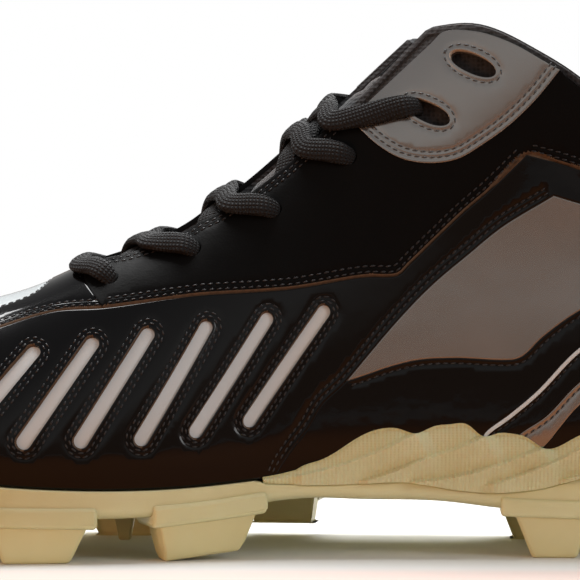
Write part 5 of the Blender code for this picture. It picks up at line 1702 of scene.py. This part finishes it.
def make_stitches():
    """Threads of all seams, one piece for each side and one for the toe and the heel."""
    sewing = bpy.context.scene.cleat_stitches
    tree = stitch_tree()
    sockets = {item.name: item.identifier for item in tree.interface.items_tree if item.in_out == "INPUT"}
    for group in ("medial", "lateral", "ends", "cap_medial", "cap_lateral"):
        points, outs, edges = [], [], []
        for _, zone, side, row, height in (seam for seam in SEAMS if seam[0] == group):
            line, out = lift(zone, side, resample(row, 0.7 * MM), height + STITCH_PROUD)
            start = sum(len(part) for part in points)
            points.append(line)
            outs.append(out)
            edges += [(start + k, start + k + 1) for k in range(len(line) - 1)]
        mesh = bpy.data.meshes.new(f"stitches_{group}")
        mesh.from_pydata([tuple(map(float, point)) for point in np.vstack(points)], edges, [])
        held = mesh.attributes.new("out", "FLOAT_VECTOR", "POINT")
        held.data.foreach_set("vector", np.vstack(outs).astype(np.float32).ravel())
        thing = bpy.data.objects.new(f"stitches_{group}", mesh)
        bpy.context.scene.collection.objects.link(thing)
        nodes = thing.modifiers.new("stitches", "NODES")
        nodes.node_group = tree
        nodes[sockets["Pitch"]] = sewing.pitch
        nodes[sockets["Length"]] = sewing.length
        nodes[sockets["Width"]] = sewing.width
        nodes[sockets["Thread"]] = finish("grey_thread" if group.startswith("cap") else "thread")
        plain(thing)
        settle(thing, "black_patent")


# Sole


def foot_at(along):
    return foot_and_crown(along)[0]


def ring_points(columns, off, height):
    """Points round the shoe at one distance off the last's face and one height a column."""
    made = np.zeros((len(columns), 3))
    for side in SIDES:
        mask = np.array([column[1] == side for column in columns])
        way = np.array([column[0] for column in columns])[mask]
        along = along_at(way)
        here = height[mask] if np.ndim(height) else height
        made[mask] = skin(way, up_at(along, here), side, off[mask] if np.ndim(off) else off)
        made[mask, 2] = here
    return made


def ladder(base, count):
    """Faces that close a ring from side to side. Its point 0 is at the heel's back."""
    faces = [(base, base + 1, base + count - 1)]
    for i in range(1, (count - 1) // 2):
        faces.append((base + i, base + i + 1, base + count - i - 1, base + count - i))
    if count % 2 == 0:
        half = count // 2
        faces.append((base + half - 1, base + half, base + half + 1))
    return faces


def loft_faces(count, rings, front):
    """Faces between rings that are closed from side to side at both ends."""
    half = (count - 1) // 2
    faces = []
    for r in range(rings - 1):
        a, b = r * count, (r + 1) * count
        faces += [
            (a + i, a + (i + 1) % count, b + (i + 1) % count, b + i)
            for i in range(count)
            if not (front and i == half)
        ]
    faces += ladder(0, count) + ladder((rings - 1) * count, count)
    if front:
        medial = [r * count + half for r in range(rings)]
        faces.append(tuple(medial + [index + 1 for index in reversed(medial)]))
    return faces


def sole_columns(end, count):
    ways = np.linspace(0, end, count)
    back = ways[::-1] if end < 1 else ways[-2::-1]
    return [(way, MEDIAL) for way in ways] + [(way, LATERAL) for way in back[:-1]]


def wave_relief(along, height, setting):
    """How far the waves stand out: each stands over the one before it along its upper line."""
    spots = np.column_stack([along * LENGTH, height])
    relief = np.zeros(len(spots))
    for rows in WAVE_LINES:
        line = spline(rows, 0.6 * MM) * (LENGTH, 1)
        ahead = unit(np.gradient(line, axis=0))
        gap = np.linalg.norm(spots[:, None] - line[None], axis=2)
        nearest = gap.argmin(axis=1)
        offset = spots - line[nearest]
        beside = offset[:, 0] * -ahead[nearest, 1] + offset[:, 1] * ahead[nearest, 0]
        rise = np.clip(0.5 - beside / (0.5 * MM), 0, 1)
        past = np.abs((offset * ahead[nearest]).sum(axis=1)) - 0.4 * MM
        ends = np.clip(1 - np.maximum(past, 0) / (3 * MM), 0, 1)
        fade = np.exp(-gap.min(axis=1) / setting.wave_fade)
        relief += rise**2 * (3 - 2 * rise) * fade * ends * setting.wave_step
    return relief


def make_cup():
    """Cup of the rear half, with overlapping waves on its side."""
    setting = bpy.context.scene.cleat_sole
    columns = sole_columns(float(way_at(CUP_FRONT)), CUP_COLUMNS)
    along = along_at(np.array([column[0] for column in columns]))
    deck, top, join = foot_at(along) - SEAT, line_height(CUP_TOP, along), line_height(JOIN, along)
    lip = CUP_INNER + CUP_LIP * CUP_WALL
    rings = [ring_points(columns, CUP_INNER, deck), ring_points(columns, CUP_INNER, top - 0.5 * MM)]
    rings.append(ring_points(columns, CUP_INNER + 0.25 * MM, top))
    for share in np.linspace(0, 1, CUP_ROWS) ** 1.15:
        height = top - 0.05 * MM - (top - 0.05 * MM - join) * share
        swell = math.sin(min(share / 0.5, 1) * math.pi / 2)
        off = lip + (CUP_INNER + CUP_WALL - lip) * swell - 0.25 * CUP_WALL * max(share - 0.5, 0) * 2
        off = off - 0.35 * MM * np.exp(-share / 0.04)
        relief = wave_relief(along, height, setting)
        rings.append(ring_points(columns, off - setting.wave_step * 0.55 + relief, height))
    faces = loft_faces(len(columns), len(rings), True)
    cup = tidy(new_piece("cup", np.vstack(rings), faces, ["cup_rubber"]))
    settle(cup, "cream_rubber", "midsole")


def make_insole():
    """Thin foam insole with a rolled rim."""
    columns = sole_columns(1.0, 120)
    along = along_at(np.array([column[0] for column in columns]))
    foot = foot_at(along)
    rings = []
    for off, rise in INSOLE_SECTION:
        if off > INSOLE_FLAT:
            rings.append(ring_points(columns, off * MM, foot))
        else:
            share = (-off - 4.0) / 30.0
            rings.append(rings[0] + (rings[0].mean(axis=0) - rings[0]) * share)
        rings[-1][:, 2] = foot + rise * MM
    faces = loft_faces(len(columns), len(rings), False)
    insole = tidy(new_piece("insole_foam", np.vstack(rings), faces, ["insole_cloth"]))
    settle(insole, "insole_cloth", "insole")


def outsole_top(along):
    front = foot_at(along) - SEAT
    rear = line_height(JOIN, np.minimum(along, CUP_FRONT)) - 0.1 * MM
    share = np.clip((along - CUP_FRONT - 0.001) / 0.004, 0, 1)
    return rear + (front - rear) * share


def lug_corner(row, side):
    """Places of a lug's line along the sole's edge."""
    lug = dict(zip(LUG_COLUMNS, row))

    def edge(along):
        return np.array(skin(way_at(along), 0.0, side, SOLE_EDGE + LUG_PROUD))[:2]

    front, rear = edge(lug["block_front"]), edge(lug["block_rear"])
    inward = unit(np.array([rear[1] - front[1], front[0] - rear[0]]))
    if inward[1] * side > 0:
        inward = -inward
    span = lug["block_front"] - lug["block_rear"]

    def spot(along, depth, height):
        place = front + (rear - front) * (lug["block_front"] - along) / span + inward * depth
        return (*place, height)

    return lug, spot


def mix(a, b, share):
    return a + (b - a) * share


def boxed(place, rounding):
    """Rounded six-sided body. place turns shares rearward, inward and upward into a point.

    Rounding never takes it lower than its corners, nor under the floor.
    """
    work = bmesh.new()
    bmesh.ops.create_cube(work, size=1.0)
    bmesh.ops.subdivide_edges(work, edges=work.edges, cuts=4, use_grid_fill=True)
    shares = {vertex: tuple(part + 0.5 for part in vertex.co) for vertex in work.verts}
    creased = [edge for edge in work.edges if edge.calc_face_angle(0) > 1]
    for vertex, share in shares.items():
        vertex.co = place(*share)
    lowest = max(min(vertex.co.z for vertex in work.verts), 0.0)
    bmesh.ops.bevel(
        work, geom=creased, offset=rounding, segments=3, profile=0.5, affect="EDGES", clamp_overlap=True
    )
    for vertex in work.verts:
        vertex.co.z = max(vertex.co.z, lowest)
    bmesh.ops.recalc_face_normals(work, faces=work.faces)
    index = {vertex: k for k, vertex in enumerate(work.verts)}
    points = [tuple(vertex.co) for vertex in work.verts]
    faces = [tuple(index[vertex] for vertex in face.verts) for face in work.faces]
    work.free()
    return points, faces


def lug_parts(row, rounding):
    """Base block and stud of one ground lug."""
    lug, spot = lug_corner(row, row[1])

    def block(rearward, across, upward):
        along = mix(lug["block_front"], lug["block_rear"], rearward)
        rim = float(level(mix(lug["rim_front"], lug["rim_rear"], rearward)))
        top = float(line_height(PLATE, along)) + PLATE_ROUND
        swell = 0.5 * MM * math.sin(math.pi * rearward)
        return spot(along, mix(-swell, BLOCK_WIDTH, across), mix(rim, top, upward))

    def stud(rearward, across, upward):
        top = mix(lug["neck_front"], lug["neck_rear"], rearward)
        foot = mix(lug["foot_front"], lug["foot_rear"], rearward)
        rim = float(level(mix(lug["rim_front"], lug["rim_rear"], rearward))) + PLATE_ROUND / 2
        ground = float(level(lug["ground"] + lug["lift"] * rearward))
        width = mix(FOOT_WIDTH, NECK_WIDTH, upward)
        outer = mix(FOOT_INSET, NECK_INSET, upward)
        return spot(mix(foot, top, upward), outer + width * across, mix(ground, rim, upward))

    return boxed(block, rounding), boxed(stud, rounding * 0.9)


def make_outsole():
    """Moulded plate with its lug bases, and the studs in clearer rubber."""
    setting = bpy.context.scene.cleat_sole
    columns = sole_columns(1.0, 260)
    along = along_at(np.array([column[0] for column in columns]))
    top, low = outsole_top(along), line_height(PLATE, along)
    shoulder, side_low = top - 0.35 * MM, low + PLATE_ROUND
    rings = [ring_points(columns, SOLE_EDGE - 0.3 * MM, top), ring_points(columns, SOLE_EDGE, shoulder)]
    for share in (0.33, 0.66):
        rings.append(ring_points(columns, SOLE_EDGE, mix(shoulder, side_low, share)))
    for turn in np.linspace(0, math.pi / 2, 7):
        off = SOLE_EDGE - PLATE_ROUND * (1 - math.cos(turn))
        rings.append(ring_points(columns, off, side_low - PLATE_ROUND * math.sin(turn)))
    rim = rings[-1]
    ridge = last("ridge", along) * BALL_WIDTH + PLACE[1]
    for share, rise in ((0.20, 0.0), (0.24, 0.9), (0.6, 1.1)):
        inner = rim * (1 - 0.12 * share, 1 - share, 1) + np.array([0.0, 0.0, rise * MM])
        inner[:, 1] += ridge * share
        rings.append(inner)
    faces = loft_faces(len(columns), len(rings), False)
    plate = [(np.vstack(rings), faces)]
    studs = []
    for row in LUGS:
        block, stud = lug_parts(row, setting.lug_round)
        plate.append(block)
        studs.append(stud)
    centre = LENGTH * (0.5 - NUB_ALONG) + PLACE[0]
    nub_y = float(last("ridge", NUB_ALONG)) * BALL_WIDTH + PLACE[1]

    def nub(rearward, across, upward):
        half = NUB_LENGTH / 2 * mix(0.45, 1.0, upward)
        height = mix(float(level(NUB_LEVEL)), float(line_height(PLATE, NUB_ALONG)) + 2 * MM, upward)
        return (centre + mix(-half, half, rearward), nub_y + mix(-half, half, across), height)

    studs.append(boxed(nub, 0.8 * MM))
    points, faces = stacked(plate)
    plate = tidy(new_piece("outsole_plate", points, faces, ["cream_rubber"]))
    settle(plate, "cream_rubber", "outsole")
    points, faces = stacked(studs)
    settle(tidy(new_piece("studs", points, faces, ["stud_rubber"])), "cream_rubber")


# Studio


def area_light(name, place, size, power, colour, aim):
    """Soft rectangular light that looks at a point."""
    light = bpy.data.lights.new(name, "AREA")
    light.shape = "RECTANGLE"
    light.size, light.size_y = size
    light.energy = power
    light.color = colour
    lamp = bpy.data.objects.new(name, light)
    lamp.location = place
    lamp.rotation_euler = (Vector(aim) - Vector(place)).to_track_quat("-Z", "Y").to_euler()
    bpy.context.scene.collection.objects.link(lamp)


def make_world():
    """Paper white for the camera, and a dim warm room with a pale band above it for everything else."""
    world = bpy.data.worlds.new("studio")
    world.use_nodes = True
    tree = world.node_tree
    tree.nodes.clear()
    direction = add(tree, "ShaderNodeTexCoord").outputs["Generated"]
    height = add(tree, "ShaderNodeSeparateXYZ", {"Vector": direction})
    ramp = add(tree, "ShaderNodeValToRGB", {"Fac": height.outputs["Z"]})
    ramp.color_ramp.elements.new(1.0)
    for stop, (position, colour) in zip(ramp.color_ramp.elements, ROOM):
        stop.position = position
        stop.color = (*colour, 1)
    room = add(tree, "ShaderNodeBackground", {"Color": ramp.outputs["Color"], "Strength": 1.0})
    paper = add(tree, "ShaderNodeBackground", {"Color": (1.0, 1.0, 1.0, 1.0), "Strength": 1.0})
    seen = add(tree, "ShaderNodeLightPath").outputs["Is Camera Ray"]
    both = add(tree, "ShaderNodeMixShader", {0: seen, 1: room.outputs[0], 2: paper.outputs[0]})
    add(tree, "ShaderNodeOutputWorld", {"Surface": both.outputs[0]})
    bpy.context.scene.world = world


def stage_sheet(name, x, y, z, paper):
    """Level sheet of the stage between two x and two y places."""
    mesh = bpy.data.meshes.new(name)
    corners = [(x[0], y[0], z), (x[1], y[0], z), (x[1], y[1], z), (x[0], y[1], z)]
    mesh.from_pydata(corners, [], [(0, 1, 2, 3)])
    mesh.materials.append(paper)
    sheet = bpy.data.objects.new(name, mesh)
    bpy.context.scene.collection.objects.link(sheet)
    return sheet


def make_studio():
    """Pale floor, soft lights and the photograph's camera."""
    scene = bpy.context.scene
    setting = scene.cleat_studio
    half = setting.floor_size / 2
    paper = studio_floor("studio_paper", setting.floor)
    stage_sheet("studio_floor", (-half, half), (-half, half), 0.0, paper)
    # a warm board in front of the shoe that only its reflections and its shaded side show
    paper = studio_floor("warm_board_paper", setting.board)
    board = stage_sheet("warm_board", BOARD_X, BOARD_Y, BOARD_Z, paper)
    board.visible_camera = board.visible_shadow = False
    make_world()
    for name, place, size, share, colour, aim in LIGHTS:
        area_light(name, place, size, setting.key * share, colour, aim)
    camera = bpy.data.cameras.new("camera")
    camera.lens = setting.focal
    camera.sensor_width = 36.0
    camera.clip_start, camera.clip_end = 0.05, 50.0
    eye = bpy.data.objects.new("camera", camera)
    eye.location = (CAMERA_X, -setting.distance, CAMERA_Z)
    eye.rotation_euler = (math.pi / 2, 0, 0)
    scene.collection.objects.link(eye)
    scene.camera = eye
    scene.view_settings.view_transform = "Standard"


# Operators and panel


class CLEAT_OT_lining(bpy.types.Operator):
    """Builds the upper's fabric wall, the collar pad, the tongue and the insole"""

    bl_idname = "cleat.lining"
    bl_label = "Upper and lining"

    def execute(self, context):
        make_upper_shell()
        make_collar_pad()
        make_tongue()
        make_insole()
        return {"FINISHED"}


class CLEAT_OT_sides(bpy.types.Operator):
    """Builds the leather pieces of both sides"""

    bl_idname = "cleat.sides"
    bl_label = "Side leather"

    def execute(self, context):
        for side in SIDES:
            make_side_leather(side)
        return {"FINISHED"}


class CLEAT_OT_ends(bpy.types.Operator):
    """Builds the leather pieces round the toe and the heel"""

    bl_idname = "cleat.ends"
    bl_label = "Toe and heel leather"

    def execute(self, context):
        make_toe_and_heel_leather()
        return {"FINISHED"}


class CLEAT_OT_stitches(bpy.types.Operator):
    """Sews the leather pieces that are there"""

    bl_idname = "cleat.stitches"
    bl_label = "Stitches"

    def execute(self, context):
        make_stitches()
        return {"FINISHED"}


class CLEAT_OT_lace(bpy.types.Operator):
    """Laces the shoe"""

    bl_idname = "cleat.lace"
    bl_label = "Lace"

    def execute(self, context):
        make_lace()
        return {"FINISHED"}


class CLEAT_OT_sole(bpy.types.Operator):
    """Builds the cup, the plate and the studs"""

    bl_idname = "cleat.sole"
    bl_label = "Sole"

    def execute(self, context):
        make_cup()
        make_outsole()
        return {"FINISHED"}


class CLEAT_OT_studio(bpy.types.Operator):
    """Sets up the floor, the lights and the camera"""

    bl_idname = "cleat.studio"
    bl_label = "Studio"

    def execute(self, context):
        make_studio()
        return {"FINISHED"}


STEPS = (
    CLEAT_OT_lining, CLEAT_OT_sides, CLEAT_OT_ends, CLEAT_OT_stitches, CLEAT_OT_lace, CLEAT_OT_sole,
    CLEAT_OT_studio,
)
SETTINGS = {
    "cleat_stitches": CleatStitches,
    "cleat_leather": CleatLeather,
    "cleat_lace": CleatLace,
    "cleat_sole": CleatSole,
    "cleat_studio": CleatStudio,
}


class CLEAT_PT_panel(bpy.types.Panel):
    bl_label = "Baseball cleat"
    bl_idname = "CLEAT_PT_panel"
    bl_space_type = "VIEW_3D"
    bl_region_type = "UI"
    bl_category = "Cleat"

    def draw(self, context):
        layout = self.layout
        for step in STEPS:
            layout.operator(step.bl_idname)
        for name, kind in SETTINGS.items():
            box = layout.box()
            box.label(text=name.replace("cleat_", "").capitalize())
            for key in kind.__annotations__:
                box.prop(getattr(context.scene, name), key)


def register():
    for kind in SETTINGS.values():
        bpy.utils.register_class(kind)
    for name, kind in SETTINGS.items():
        setattr(bpy.types.Scene, name, PointerProperty(type=kind))
    for each in (*STEPS, CLEAT_PT_panel):
        bpy.utils.register_class(each)


def unregister():
    for each in (CLEAT_PT_panel, *reversed(STEPS)):
        bpy.utils.unregister_class(each)
    for name in SETTINGS:
        delattr(bpy.types.Scene, name)
    for kind in reversed(tuple(SETTINGS.values())):
        bpy.utils.unregister_class(kind)


def main():
    register()
    for step in STEPS:
        group, name = step.bl_idname.split(".")
        getattr(getattr(bpy.ops, group), name)()


if __name__ == "__main__":
    main()
